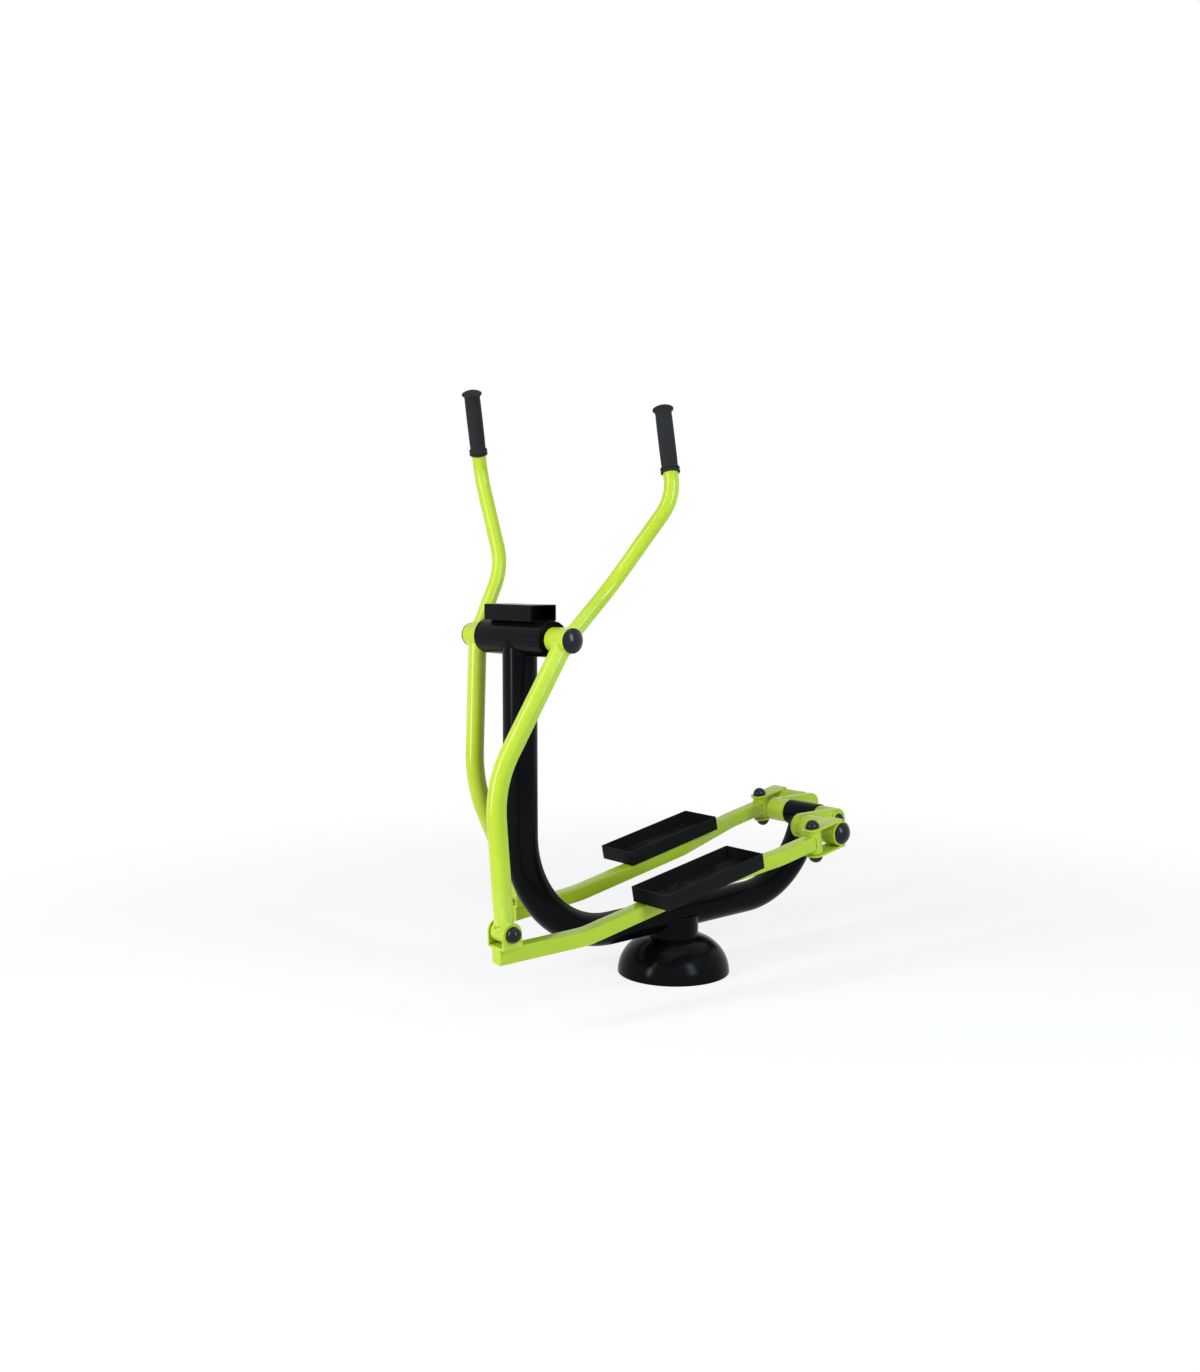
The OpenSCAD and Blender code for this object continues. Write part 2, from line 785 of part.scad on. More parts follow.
module crank(side) {
    color(lime_coat) translate([rear_axis[0], 0, rear_axis[1]]) on_side(side) difference() {
        union() {
            bar_y(crank_d, crank_in, crank_out_y);
            translate([side * crank_r, 0, 0]) bar_y(crank_d, crank_out_y - crank_t, crank_out_y);
            translate([side * crank_r / 2, crank_out_y - crank_t / 2, 0])
                cube([crank_r, crank_t, crank_d], center = true);
            translate([side * crank_r, 0, 0]) bar_y(pin_boss_d, crank_out_y - past, pin_boss_out);
            bar_y(crank_ring_d, crank_out_y - past, ring_out);
        }
        bar_y(crank_shaft_d, 0, far);
    }
}

module crank_caps() {
    color(cap_black) translate([rear_axis[0], 0, rear_axis[1]]) for (side = [1, -1])
        on_side(side) translate([0, ring_out, 0]) rotate([-90, 0, 0])
            dome_cap(crank_cap_d, crank_cap_h, cap_wall);
}

module handle_hub(side) {
    seat_in = hub_in + hub_seat_in + hub_bearing_w;
    seat_out = hub_out - hub_seat_out - hub_bearing_w;
    color(lime_coat) on_handle(side) difference() {
        bar_y(hub_d, hub_in, hub_out);
        bar_y(hub_bearing_d - 2 * bearing_step, hub_in - past, hub_out + past);
        bar_y(hub_bearing_d, hub_in - past, seat_in);
        bar_y(hub_bearing_d, seat_out, hub_out + past);
    }
}

module hub_bearings(side) {
    bore = shaft_d + 2 * running_gap;
    near = hub_in + hub_seat_in;
    outer = hub_out - hub_seat_out;
    color(bare_steel) on_handle(side) {
        ring_y(hub_bearing_d, bore, near, near + hub_bearing_w);
        ring_y(hub_bearing_d, bore, outer - hub_bearing_w, outer);
    }
}

module hub_cap(side) {
    color(cap_black) on_handle(side) translate([0, hub_out, 0]) rotate([-90, 0, 0])
        dome_cap(hub_d, hub_cap_h, cap_wall, hub_bearing_d, cap_spigot);
}

module handle_upper(side) {
    neck = [-neck_x, neck_y, grip_top_z - neck_drop];
    top = [-grip_top_x, grip_top_y, grip_top_z];
    color(lime_coat) on_handle(side) difference() {
        bent_tube(
            [
                [0, upper_start_y, 0],
                [-upper_bend_x, upper_bend_y, upper_bend_z],
                neck,
                top - unit(top - neck) * grip_end_t
            ],
            [upper_bend_r, neck_r],
            upper_tube_d,
            upper_tube_wall,
            [1, 0, 0]
        );
        bar_y(hub_d, hub_in - far, hub_out + past);
    }
}

module handle_lower(side) {
    color(lime_coat) on_handle(side) difference() {
        bent_tube(
            [
                [0, lower_start_y, 0],
                [lower_bend_x, lower_bend_y, -lower_bend_z],
                [0, pivot_y, -handle_len]
            ],
            [lower_bend_r],
            lower_tube_d,
            lower_tube_wall,
            [1, 0, 0]
        );
        bar_y(hub_d, hub_in - far, hub_out + past);
        translate([0, 0, -handle_len]) bar_y(sleeve_d, 0, far);
    }
}

module grip(side) {
    neck = [-neck_x, neck_y, grip_top_z - neck_drop];
    top = [-grip_top_x, grip_top_y, grip_top_z];
    way = unit(top - neck);
    body = grip_len - grip_flange_t;
    color(grip_rubber) on_handle(side) facing(top - way * grip_len, way, [1, 0, 0]) difference() {
        union() {
            cylinder(d = grip_d, h = grip_len);
            translate([0, 0, body]) cylinder(d = grip_flange_d, h = grip_flange_t);
            translate([0, 0, grip_len]) rotate_extrude() cap_profile(grip_flange_d, grip_crown_h);
            for (i = [0, 1])
                translate([0, 0, i * (grip_ridge_w + grip_ridge_gap)])
                    cylinder(d = grip_ridge_d, h = grip_ridge_w);
        }
        translate([0, 0, -past]) cylinder(d = upper_tube_d, h = grip_len - grip_end_t + past);
    }
}

module lower_sleeve(side) {
    color(lime_coat) on_handle(side) translate([0, pivot_y, -handle_len])
        ring_y(sleeve_d, bush_d, -sleeve_len / 2, sleeve_len / 2);
}

module lower_bushes(side) {
    color(bronze) on_handle(side) translate([0, pivot_y, -handle_len]) for (end = [1, -1])
        on_side(end) difference() {
            union() {
                bar_y(bush_d, sleeve_len / 2 - bush_len, sleeve_face);
                bar_y(bush_collar_d, sleeve_len / 2, sleeve_face);
            }
            bar_y(bolt_d + 2 * running_gap, 0, far);
        }
}

module pedal_arm(side) {
    nose = [arm_nose, pivot_y - arm_nose * tan(arm_yaw), -arm_drop];
    color(lime_coat) difference() {
        on_arm(side) {
            bent_run(
                [nose, rear_at(0, arm_y), rear_at(arm_out_x, arm_y), rear_at(arm_back_x, swivel_y),
                    rear_at(arm_rear_len - swivel_gap, swivel_y)],
                [arm_bend_r, arm_side_r, arm_side_r],
                [0, 1, 0]
            ) square_ring(arm_w, arm_wall);
            translate(nose) rotate([0, 0, -arm_yaw]) translate([-arm_wall, 0, 0])
                cube([arm_wall, arm_w - arm_wall, arm_w - arm_wall], center = true);
        }
        on_fork(side) cylinder(d = swivel_d, h = far, center = true);
        on_tray_bolts(side) translate([0, 0, -arm_w / 2])
            cylinder(d = tray_bolt_d + 2 * tray_hole_gap, h = arm_w);
    }
}

module front_bracket(side) {
    color(lime_coat) on_arm(side) translate([0, pivot_y, 0]) {
        for (end = [1, -1])
            on_side(end) translate([0, ear_out, 0]) rotate([90, 0, 0]) linear_extrude(ear_t)
                difference() {
                    union() {
                        circle(ear_r);
                        translate([-ear_r, bracket_top]) square([2 * ear_r, -bracket_top]);
                    }
                    circle(d = bolt_d);
                }
        translate([-ear_r, -ear_in, bracket_top]) cube([2 * ear_r, 2 * ear_in, bracket_base_t]);
    }
}

module front_bolt(side) {
    color(bare_steel) on_arm(side) translate([0, pivot_y, 0]) rotate([-90, 0, 0]) joint_bolt(ear_out);
}

module front_caps(side) {
    color(cap_black) on_arm(side) translate([0, pivot_y, 0]) for (end = [1, -1])
        on_side(end) translate([0, ear_out, 0]) rotate([-90, 0, 0]) dome_cap(cap_d, cap_h, cap_wall);
}

module foot_tray(side) {
    color(tray_black) difference() {
        on_arm_rear(side)
            translate([-tray_front_x - tray_len / 2, tray_inner_y + tray_w / 2, tray_floor_z])
                difference() {
                    linear_extrude(tray_h) round_rect(tray_len, tray_w, tray_corner_r);
                    translate([0, 0, tray_wall]) linear_extrude(tray_h) round_rect(
                        tray_len - 2 * tray_wall,
                        tray_w - 2 * tray_wall,
                        tray_corner_r - tray_wall
                    );
                }
        on_tray_bolts(side) cylinder(d = tray_bolt_d + 2 * tray_hole_gap, h = arm_w);
    }
}

// The places of a tray's bolts, on the middle of the arm's tube
module on_tray_bolts(side) {
    for (x = tray_bolt_xs)
        on_arm_rear(side) translate([-x, arm_y, 0]) children();
}

module tray_bolts(side) {
    floor_z = tray_floor_z + tray_wall;
    nut_z = arm_w / 2 - arm_wall - tray_nut_t;
    color(black_coat) on_tray_bolts(side) {
        translate([0, 0, nut_z]) cylinder(d = tray_bolt_d, h = floor_z - nut_z);
        translate([0, 0, floor_z]) rotate_extrude() cap_profile(tray_head_d, tray_head_h);
        translate([0, 0, nut_z]) difference() {
            hexagon(tray_nut_af, tray_nut_t);
            translate([0, 0, -past]) cylinder(d = tray_bolt_d, h = tray_nut_t + 2 * past);
        }
    }
}

module swivel_sleeve(side) {
    color(lime_coat) on_fork(side) difference() {
        cylinder(d = swivel_d, h = swivel_len, center = true);
        cylinder(d = bolt_d + 2 * running_gap, h = swivel_len + 2 * past, center = true);
    }
}

module fork_straps(side) {
    reach = swivel_gap + strap_tail;
    color(lime_coat) difference() {
        on_fork(side) for (s = [0, 1])
            mirror([0, 0, s]) translate([0, 0, strap_in]) linear_extrude(strap_t) difference() {
                union() {
                    circle(d = strap_w);
                    translate([-reach, -strap_w / 2]) square([reach, strap_w]);
                }
                circle(d = bolt_d);
            }
        on_pin(side) bar_y(pin_sleeve_d, 0, far);
    }
}

module swivel_bolt(side) {
    color(bare_steel) on_fork(side) joint_bolt(strap_out);
}

module swivel_caps(side) {
    color(cap_black) on_fork(side) for (s = [0, 1])
        mirror([0, 0, s]) translate([0, 0, strap_out]) dome_cap(cap_d, cap_h, cap_wall);
}

module pin_sleeve(side) {
    seat_in = pin_sleeve_in + pin_seat_in + pin_bearing_w;
    seat_out = pin_sleeve_out - pin_seat_out - pin_bearing_w;
    color(lime_coat) on_pin(side) difference() {
        bar_y(pin_sleeve_d, pin_sleeve_in, pin_sleeve_out);
        bar_y(pin_bearing_d - 2 * bearing_step, pin_sleeve_in - past, pin_sleeve_out + past);
        bar_y(pin_bearing_d, pin_sleeve_in - past, seat_in);
        bar_y(pin_bearing_d, seat_out, pin_sleeve_out + past);
    }
}

module pin_bearings(side) {
    near = pin_sleeve_in + pin_seat_in;
    outer = pin_sleeve_out - pin_seat_out;
    color(bare_steel) on_pin(side) {
        ring_y(pin_bearing_d, pin_d, near, near + pin_bearing_w);
        ring_y(pin_bearing_d, pin_d, outer - pin_bearing_w, outer);
    }
}

module crank_pin(side) {
    outer = pin_sleeve_out - pin_seat_out;
    color(bare_steel) on_pin(side) {
        bar_y(pin_d, pin_sleeve_in, outer + pin_nut_t + past);
        difference() {
            translate([0, outer, 0]) rotate([-90, 0, 0]) hexagon(shaft_nut_af, pin_nut_t);
            bar_y(pin_d, 0, far);
        }
    }
}

module pin_cap(side) {
    color(cap_black) on_pin(side) translate([0, pin_sleeve_out, 0]) rotate([-90, 0, 0])
        dome_cap(pin_cap_d, pin_cap_h, cap_wall, pin_bearing_d, cap_spigot);
}

base_flange();
base_ribs();
base_dome();
ground_post();
main_beam();
top_housing();
housing_plates();
top_box();
top_shaft();
top_shaft_nuts();
rear_housing();
rear_bearings();
crank_shaft();
crank(1);  // left_crank
crank(-1);  // right_crank
crank_caps();
handle_hub(1);  // left_handle_hub
hub_bearings(1);  // left_hub_bearings
hub_cap(1);  // left_hub_cap
handle_upper(1);  // left_handle_upper
handle_lower(1);  // left_handle_lower
grip(1);  // left_grip
lower_sleeve(1);  // left_lower_sleeve
lower_bushes(1);  // left_lower_bushes
handle_hub(-1);  // right_handle_hub
hub_bearings(-1);  // right_hub_bearings
hub_cap(-1);  // right_hub_cap
handle_upper(-1);  // right_handle_upper
handle_lower(-1);  // right_handle_lower
grip(-1);  // right_grip
lower_sleeve(-1);  // right_lower_sleeve
lower_bushes(-1);  // right_lower_bushes
pedal_arm(1);  // left_pedal_arm
front_bracket(1);  // left_front_bracket
front_bolt(1);  // left_front_bolt
front_caps(1);  // left_front_caps
foot_tray(1);  // left_foot_tray
tray_bolts(1);  // left_tray_bolts
swivel_sleeve(1);  // left_swivel_sleeve
pedal_arm(-1);  // right_pedal_arm
front_bracket(-1);  // right_front_bracket
front_bolt(-1);  // right_front_bolt
front_caps(-1);  // right_front_caps
foot_tray(-1);  // right_foot_tray
tray_bolts(-1);  // right_tray_bolts
swivel_sleeve(-1);  // right_swivel_sleeve
fork_straps(1);  // left_fork_straps
swivel_bolt(1);  // left_swivel_bolt
swivel_caps(1);  // left_swivel_caps
pin_sleeve(1);  // left_pin_sleeve
pin_bearings(1);  // left_pin_bearings
crank_pin(1);  // left_crank_pin
pin_cap(1);  // left_pin_cap
fork_straps(-1);  // right_fork_straps
swivel_bolt(-1);  // right_swivel_bolt
swivel_caps(-1);  // right_swivel_caps
pin_sleeve(-1);  // right_pin_sleeve
pin_bearings(-1);  // right_pin_bearings
crank_pin(-1);  // right_crank_pin
pin_cap(-1);  // right_pin_cap
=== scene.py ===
"""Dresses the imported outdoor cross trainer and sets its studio.

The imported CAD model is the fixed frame. Each piece that shows is made again here with its fine
form, rounded edges, weld beads and finish, in the place that the frame gives it, and rides on the
same body. The pieces inside the joints stay as the frame's own nodes and only get a finish.
All lengths are in metres, +Z is up and +X points to the front column.
"""

import json
import logging
import math
from collections.abc import Sequence
from dataclasses import dataclass, field
from enum import Enum
from typing import Any

import bmesh
import bpy
from mathutils import Matrix, Vector


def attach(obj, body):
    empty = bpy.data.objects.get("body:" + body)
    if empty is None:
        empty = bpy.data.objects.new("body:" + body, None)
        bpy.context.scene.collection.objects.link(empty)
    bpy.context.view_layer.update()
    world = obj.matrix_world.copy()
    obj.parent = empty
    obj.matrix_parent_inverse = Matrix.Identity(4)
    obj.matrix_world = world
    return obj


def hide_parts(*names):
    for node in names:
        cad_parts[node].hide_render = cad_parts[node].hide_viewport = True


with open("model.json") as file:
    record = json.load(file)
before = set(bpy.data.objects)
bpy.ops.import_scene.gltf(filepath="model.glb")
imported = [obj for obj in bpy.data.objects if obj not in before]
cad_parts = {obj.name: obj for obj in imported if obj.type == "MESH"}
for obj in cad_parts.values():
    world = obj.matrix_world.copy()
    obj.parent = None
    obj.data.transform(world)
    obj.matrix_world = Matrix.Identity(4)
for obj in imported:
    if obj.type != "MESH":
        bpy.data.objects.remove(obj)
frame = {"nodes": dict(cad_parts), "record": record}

log = logging.getLogger("cross_trainer")

Rgb = tuple[float, float, float]
Outline = list[tuple[float, float]]
Ring = list[Vector]
Path = list[tuple[Vector, Vector]]
UP = Vector((0, 0, 1))
ALONG_X = Vector((1, 0, 0))
ALONG_Y = Vector((0, 1, 0))
WHITE: Rgb = (1.0, 1.0, 1.0)

# Points around a seam, a handle's tube, a small round piece and a large one
SEAM_ROUND = 48
TUBE_ROUND = 64
ROUND = 96
LARGE_ROUND = 128

# A ring thinner than this is a pole, and points nearer than this are one
POLE_RADIUS = 1e-7
MERGE_GAP = 1e-6

# Sharper edges than the first are rounded, and than the second stay sharp in shading
BEVEL_ANGLE = math.radians(32)
SHARP_ANGLE = math.radians(35)
BEVEL_STEPS = 3


class Slot(Enum):
    """The record's material slots."""

    BLACK_COAT = "black_coat"
    LIME_COAT = "lime_coat"
    TRAY_BLACK = "tray_black"
    CAP_BLACK = "cap_black"
    GRIP_RUBBER = "grip_rubber"
    BARE_STEEL = "bare_steel"
    BRONZE = "bronze"


class Side(Enum):
    """The two sides of the machine. The left crank points forward at rest."""

    LEFT = 1
    RIGHT = -1

    @property
    def word(self) -> str:
        """The side's name, as the nodes have it."""
        return self.name.lower()

    @property
    def mirror(self) -> Matrix:
        """The matrix that turns a left piece into this side's."""
        return Matrix.Diagonal((1, self.value, 1, 1))


class Ends(Enum):
    """How the first and last ring of a skin are closed."""

    CAPPED = "a face over each end"
    LOOPED = "the last ring joined to the first"


# Places of the linkage


def circles_meet(a: Vector, ra: float, b: Vector, rb: float) -> Vector:
    """Finds where two circles meet, to the left of the way from a to b.

    Args:
        a: Centre of the first circle.
        ra: Radius of the first circle.
        b: Centre of the second circle.
        rb: Radius of the second circle.

    Returns:
        The point in the same plane.
    """
    gap = (b - a).length
    along = (ra * ra - rb * rb + gap * gap) / (2 * gap)
    aside = math.sqrt(ra * ra - along * along)
    way = (b - a) / gap
    return a + way * along + aside * Vector((-way.y, way.x))


def turn_y(angle: float) -> Matrix:
    """A turn about the Y axis by an angle in radians."""
    return Matrix.Rotation(angle, 4, "Y")


def shift(x: float, y: float, z: float) -> Matrix:
    """A move by three lengths."""
    return Matrix.Translation((x, y, z))


def facing(at: Vector, way: Vector, up: Vector) -> Matrix:
    """Makes a frame with its Z along a way and its Y as near to up as it can be.

    Args:
        at: The frame's origin.
        way: The direction of its Z.
        up: The direction that its Y leans to.

    Returns:
        The frame as a matrix.
    """
    w = way.normalized()
    v = (up - w * w.dot(up)).normalized()
    u = v.cross(w)
    turn = Matrix((u, v, w)).transposed().to_4x4()
    return Matrix.Translation(at) @ turn


@dataclass(frozen=True)
class Linkage:
    """The sizes that place the moving pieces, and the frames that follow from them."""

    column_x: float = 0.530
    top_z: float = 0.961
    rear_x: float = 0.540
    rear_z: float = 0.387
    crank_r: float = 0.150
    handle_len: float = 0.717
    arm_bend_x: float = 0.225
    arm_drop: float = 0.055
    arm_bend: float = math.radians(8)
    arm_rear_len: float = 0.889
    swivel_gap: float = 0.087
    swivel_y: float = 0.250
    pivot_y: float = 0.184
    arm_y: float = 0.206

    @property
    def arm_pin(self) -> Vector:
        """The crank pin in the side view of an arm's own frame."""
        reach = self.arm_rear_len
        return Vector((
            -self.arm_bend_x - reach * math.cos(self.arm_bend),
            -self.arm_drop + reach * math.sin(self.arm_bend),
        ))

    @property
    def arm_yaw(self) -> float:
        """The sideways angle of an arm's front length."""
        return math.atan2(self.arm_y - self.pivot_y, self.arm_bend_x)

    def rear_at(self, back: float, y: float) -> Vector:
        """A point of an arm's own frame, back from its bend along the sloping rear.

        Args:
            back: The distance from the bend.
            y: The sideways place.

        Returns:
            The point.
        """
        return Vector((
            -self.arm_bend_x - back * math.cos(self.arm_bend),
            y,
            -self.arm_drop + back * math.sin(self.arm_bend),
        ))

    def crank_pin(self, side: Side) -> Vector:
        """The crank pin's axis in the side view."""
        return Vector((-self.rear_x + side.value * self.crank_r, self.rear_z))

    def pivot(self, side: Side) -> Vector:
        """The handle's lower pivot in the side view."""
        top = Vector((self.column_x, self.top_z))
        return circles_meet(top, self.handle_len, self.crank_pin(side), self.arm_pin.length)

    def on_top(self) -> Matrix:
        """The frame on the handles' common axis."""
        return shift(self.column_x, 0, self.top_z)

    def on_rear(self) -> Matrix:
        """The frame on the crank's axis."""
        return shift(-self.rear_x, 0, self.rear_z)

    def on_handle(self, side: Side) -> Matrix:
        """The frame of a handle, with its lower pivot straight below the axis."""
        foot = self.pivot(side) - Vector((self.column_x, self.top_z))
        return self.on_top() @ turn_y(-math.atan2(foot.x, -foot.y)) @ side.mirror

    def on_arm(self, side: Side) -> Matrix:
        """The frame of a pedal arm, with its front straight along X."""
        at = self.pivot(side)
        reach = self.crank_pin(side) - at
        pin = self.arm_pin
        pitch = math.atan2(reach.y, -reach.x) - math.atan2(pin.y, -pin.x)
        return shift(at.x, 0, at.y) @ turn_y(pitch) @ side.mirror

    def on_arm_rear(self, side: Side) -> Matrix:
        """The frame of an arm's sloping rear length."""
        return self.on_arm(side) @ shift(-self.arm_bend_x, 0, -self.arm_drop) @ turn_y(self.arm_bend)

    def on_fork(self, side: Side) -> Matrix:
        """The frame of a fork, with its origin on the swivel's axis."""
        back = self.swivel_gap - self.arm_rear_len
        return self.on_arm_rear(side) @ shift(back, self.swivel_y, 0)

    def on_pin(self, side: Side) -> Matrix:
        """The frame of a crank pin, with sideways places from the machine's middle."""
        return self.on_arm_rear(side) @ shift(-self.arm_rear_len, 0, 0)


# Meshes


def circle(d: float, count: int) -> Outline:
    """A circle's points, for a diameter and a number of points."""
    turn = 2 * math.pi / count
    return [(d / 2 * math.cos(i * turn), d / 2 * math.sin(i * turn)) for i in range(count)]


def round_rect(length: float, width: float, radius: float, steps: int = 6) -> Outline:
    """Makes a rectangle with rounded corners.

    Args:
        length: Size along X.
        width: Size along Y.
        radius: Radius of the corners.
        steps: Number of lengths in each corner.

    Returns:
        The outline, anticlockwise.
    """
    points: Outline = []
    for corner in range(4):
        angle = corner * math.pi / 2
        sx = 1 if corner in (0, 3) else -1
        sy = 1 if corner in (0, 1) else -1
        for i in range(steps + 1):
            a = angle + i / steps * math.pi / 2
            points.append((
                sx * (length / 2 - radius) + radius * math.cos(a),
                sy * (width / 2 - radius) + radius * math.sin(a),
            ))
    return points


def half_circle(radius: float, start: float, steps: int = 40) -> Outline:
    """Half a circle's points, anticlockwise from an angle in radians."""
    turns = [start + math.pi * i / steps for i in range(steps + 1)]
    return [(radius * math.cos(a), radius * math.sin(a)) for a in turns]


def capsule(radius: float, length: float, steps: int = 32) -> Outline:
    """An outline with two round ends, from the origin to a length along -X."""
    near = half_circle(radius, -math.pi / 2, steps)
    far = half_circle(radius, math.pi / 2, steps)
    return [*near, *((x - length, y) for x, y in far)]


def dome_profile(d: float, height: float, lip: float, steps: int = 18) -> Outline:
    """Makes the half profile of a closed dome cap with a straight lip.

    Args:
        d: Diameter of the base.
        height: Height over the base.
        lip: Height of the straight lip.
        steps: Number of lengths in the arc.

    Returns:
        The (radius, height) points from the base's middle to the top.
    """
    rise = height - lip
    r = (d * d / 4 + rise * rise) / (2 * rise)
    spread = math.asin(min(1.0, d / 2 / r)) if rise <= d / 2 else math.pi - math.asin(d / 2 / r)
    arc = [
        (r * math.sin(spread * (1 - i / steps)), height - r + r * math.cos(spread * (1 - i / steps)))
        for i in range(steps + 1)
    ]
    return [(0.0, 0.0), (d / 2, 0.0), *arc[:-1], (0.0, height)]


def place(outline: Outline, at: Matrix) -> Ring:
    """An outline's points in the XY plane of a frame."""
    return [at @ Vector((x, y, 0)) for x, y in outline]


def bent_path(points: Sequence[Vector], radii: Sequence[float], step: float) -> Path:
    """Rounds the corners of a path.

    Args:
        points: The path's corners and its two ends.
        radii: One radius for each inner corner.
        step: Angle of each length of a bend, in radians.

    Returns:
        Pairs of a place and the direction there.
    """
    ways = [(b - a).normalized() for a, b in zip(points, points[1:])]
    path = [(points[0].copy(), ways[0])]
    for corner, radius, before, after in zip(points[1:], radii, ways, ways[1:]):
        angle = before.angle(after)
        start = corner - before * radius * math.tan(angle / 2)
        inward = (after - before * before.dot(after)).normalized()
        count = max(2, math.ceil(angle / step))
        for i in range(count + 1):
            a = angle * i / count
            at = start + before * radius * math.sin(a) + inward * radius * (1 - math.cos(a))
            path.append((at, before * math.cos(a) + inward * math.sin(a)))
    path.append((points[-1].copy(), ways[-1]))
    return path


@dataclass
class Shape:
    """A mesh under construction, made of closed skins."""

    mesh: bmesh.types.BMesh = field(default_factory=bmesh.new)

    def skin(self, rings: Sequence[Ring], ends: Ends = Ends.CAPPED) -> "Shape":
        """Joins rings of equally many points with faces. A ring of one point is a pole.

        Args:
            rings: The rings in order.
            ends: How the first and last ring are closed.

        Returns:
            This shape.
        """
        bm = self.mesh
        made = [[bm.verts.new(p) for p in ring] for ring in rings]
        pairs = list(zip(made, made[1:]))
        if ends is Ends.LOOPED:
            pairs.append((made[-1], made[0]))
        for low, high in pairs:
            count = max(len(low), len(high))
            for i in range(count):
                j = (i + 1) % count
                corners = [low[i % len(low)], low[j % len(low)], high[j % len(high)], high[i % len(high)]]
                face = list(dict.fromkeys(corners))
                if len(face) > 2:
                    bm.faces.new(face)
        if ends is Ends.CAPPED:
            for ring in (made[0], made[-1]):
                if len(ring) > 2:
                    bm.faces.new(ring)
        return self

    def lathe(self, profile: Outline, at: Matrix, count: int = ROUND) -> "Shape":
        """Turns a half profile about the Z axis of a frame.

        Args:
            profile: The (radius, height) points.
            at: The frame.
            count: Number of points around.

        Returns:
            This shape.
        """
        rings = []
        for r, z in profile:
            if r < POLE_RADIUS:
                rings.append([at @ Vector((0, 0, z))])
            else:
                rings.append(place(circle(2 * r, count), at @ shift(0, 0, z)))
        return self.skin(rings)

    def bar(self, d: float, start: float, end: float, at: Matrix, count: int = ROUND) -> "Shape":
        """A round bar along a frame's Z between two heights."""
        return self.lathe([(d / 2, start), (d / 2, end)], at, count)

    def prism(self, outline: Outline, start: float, end: float, at: Matrix) -> "Shape":
        """A plate of an outline along a frame's Z between two heights."""
        return self.skin([place(outline, at @ shift(0, 0, z)) for z in (start, end)])

    def sweep(self, outline: Outline, path: Path, up: Vector, at: Matrix) -> "Shape":
        """Runs an outline along a path, and bends it without twisting it.

        Args:
            outline: The section, with its Y as near to up as it can be at the start.
            path: The places and directions, from bent_path.
            up: The direction that the section's Y leans to.
            at: The frame of the path's points.

        Returns:
            This shape.
        """
        rings = []
        last = path[0][1]
        for p, way in path:
            up = last.rotation_difference(way) @ up
            last = way
            rings.append(place(outline, at @ facing(p, way, up)))
        return self.skin(rings)


def sideways(at: Matrix) -> Matrix:
    """The frame turned so that its Z runs along its old Y, with its Y up."""
    turn = Matrix(((-1, 0, 0), (0, 0, 1), (0, 1, 0))).to_4x4()
    return at @ turn


# Shader nodes


@dataclass
class Graph:
    """A node tree under construction."""

    tree: bpy.types.NodeTree

    def add(
        self, kind: str, sockets: dict[str | int, Any] | None = None, **settings: Any
    ) -> bpy.types.Node:
        """Adds a node and sets or links its inputs.

        Args:
            kind: The node's type.
            sockets: Input names or numbers with a constant, or an output to link.
            settings: Properties of the node.

        Returns:
            The node.
        """
        node = self.tree.nodes.new(kind)
        for name, value in settings.items():
            setattr(node, name, value)
        for key, value in (sockets or {}).items():
            if isinstance(value, bpy.types.NodeSocket):
                self.tree.links.new(value, node.inputs[key])
            else:
                node.inputs[key].default_value = value
        return node

    def link(self, output: bpy.types.NodeSocket, node: bpy.types.Node, key: str | int) -> None:
        """Links an output to a node's input."""
        self.tree.links.new(output, node.inputs[key])

    def math(self, operation: str, a: Any, b: Any) -> bpy.types.NodeSocket:
        """The result of a calculation on two numbers or sockets, kept between 0 and 1."""
        return self.add("ShaderNodeMath", {0: a, 1: b}, operation=operation, use_clamp=True).outputs[0]

    def spread(
        self, value: Any, span: tuple[float, float], to: tuple[float, float] = (0.0, 1.0)
    ) -> bpy.types.NodeSocket:
        """Maps a value's span to another span, clamped and smooth.

        Args:
            value: The value.
            span: The span that it is read in.
            to: The span that it is given out in.

        Returns:
            The mapped value.
        """
        ends = {"From Min": span[0], "From Max": span[1], "To Min": to[0], "To Max": to[1]}
        node = self.add("ShaderNodeMapRange", {"Value": value, **ends}, interpolation_type="SMOOTHSTEP")
        return node.outputs["Result"]

    def blend(self, factor: Any, a: Any, b: Any) -> bpy.types.NodeSocket:
        """Two numbers mixed by a factor."""
        return self.add("ShaderNodeMix", {0: factor, 2: a, 3: b}, data_type="FLOAT").outputs[0]

    def mix(self, factor: Any, a: Any, b: Any) -> bpy.types.NodeSocket:
        """Two colours mixed by a factor."""
        return self.add("ShaderNodeMix", {0: factor, 6: a, 7: b}, data_type="RGBA").outputs[2]

    def noise(self, scale: bpy.types.NodeSocket, detail: float) -> bpy.types.NodeSocket:
        """A noise on object coordinates, from 0 to 1."""
        spot = self.add("ShaderNodeTexCoord").outputs["Object"]
        sockets = {"Vector": spot, "Scale": scale, "Detail": detail}
        return self.add("ShaderNodeTexNoise", sockets).outputs["Fac"]

    def group(self, tree: bpy.types.NodeTree, values: dict[str, float]) -> bpy.types.NodeSocket:
        """The only output of a node group that is placed with its own values."""
        return self.add("ShaderNodeGroup", values, node_tree=tree).outputs[0]


def rgba(colour: Rgb) -> tuple[float, float, float, float]:
    """A colour with full alpha."""
    return (*colour, 1.0)


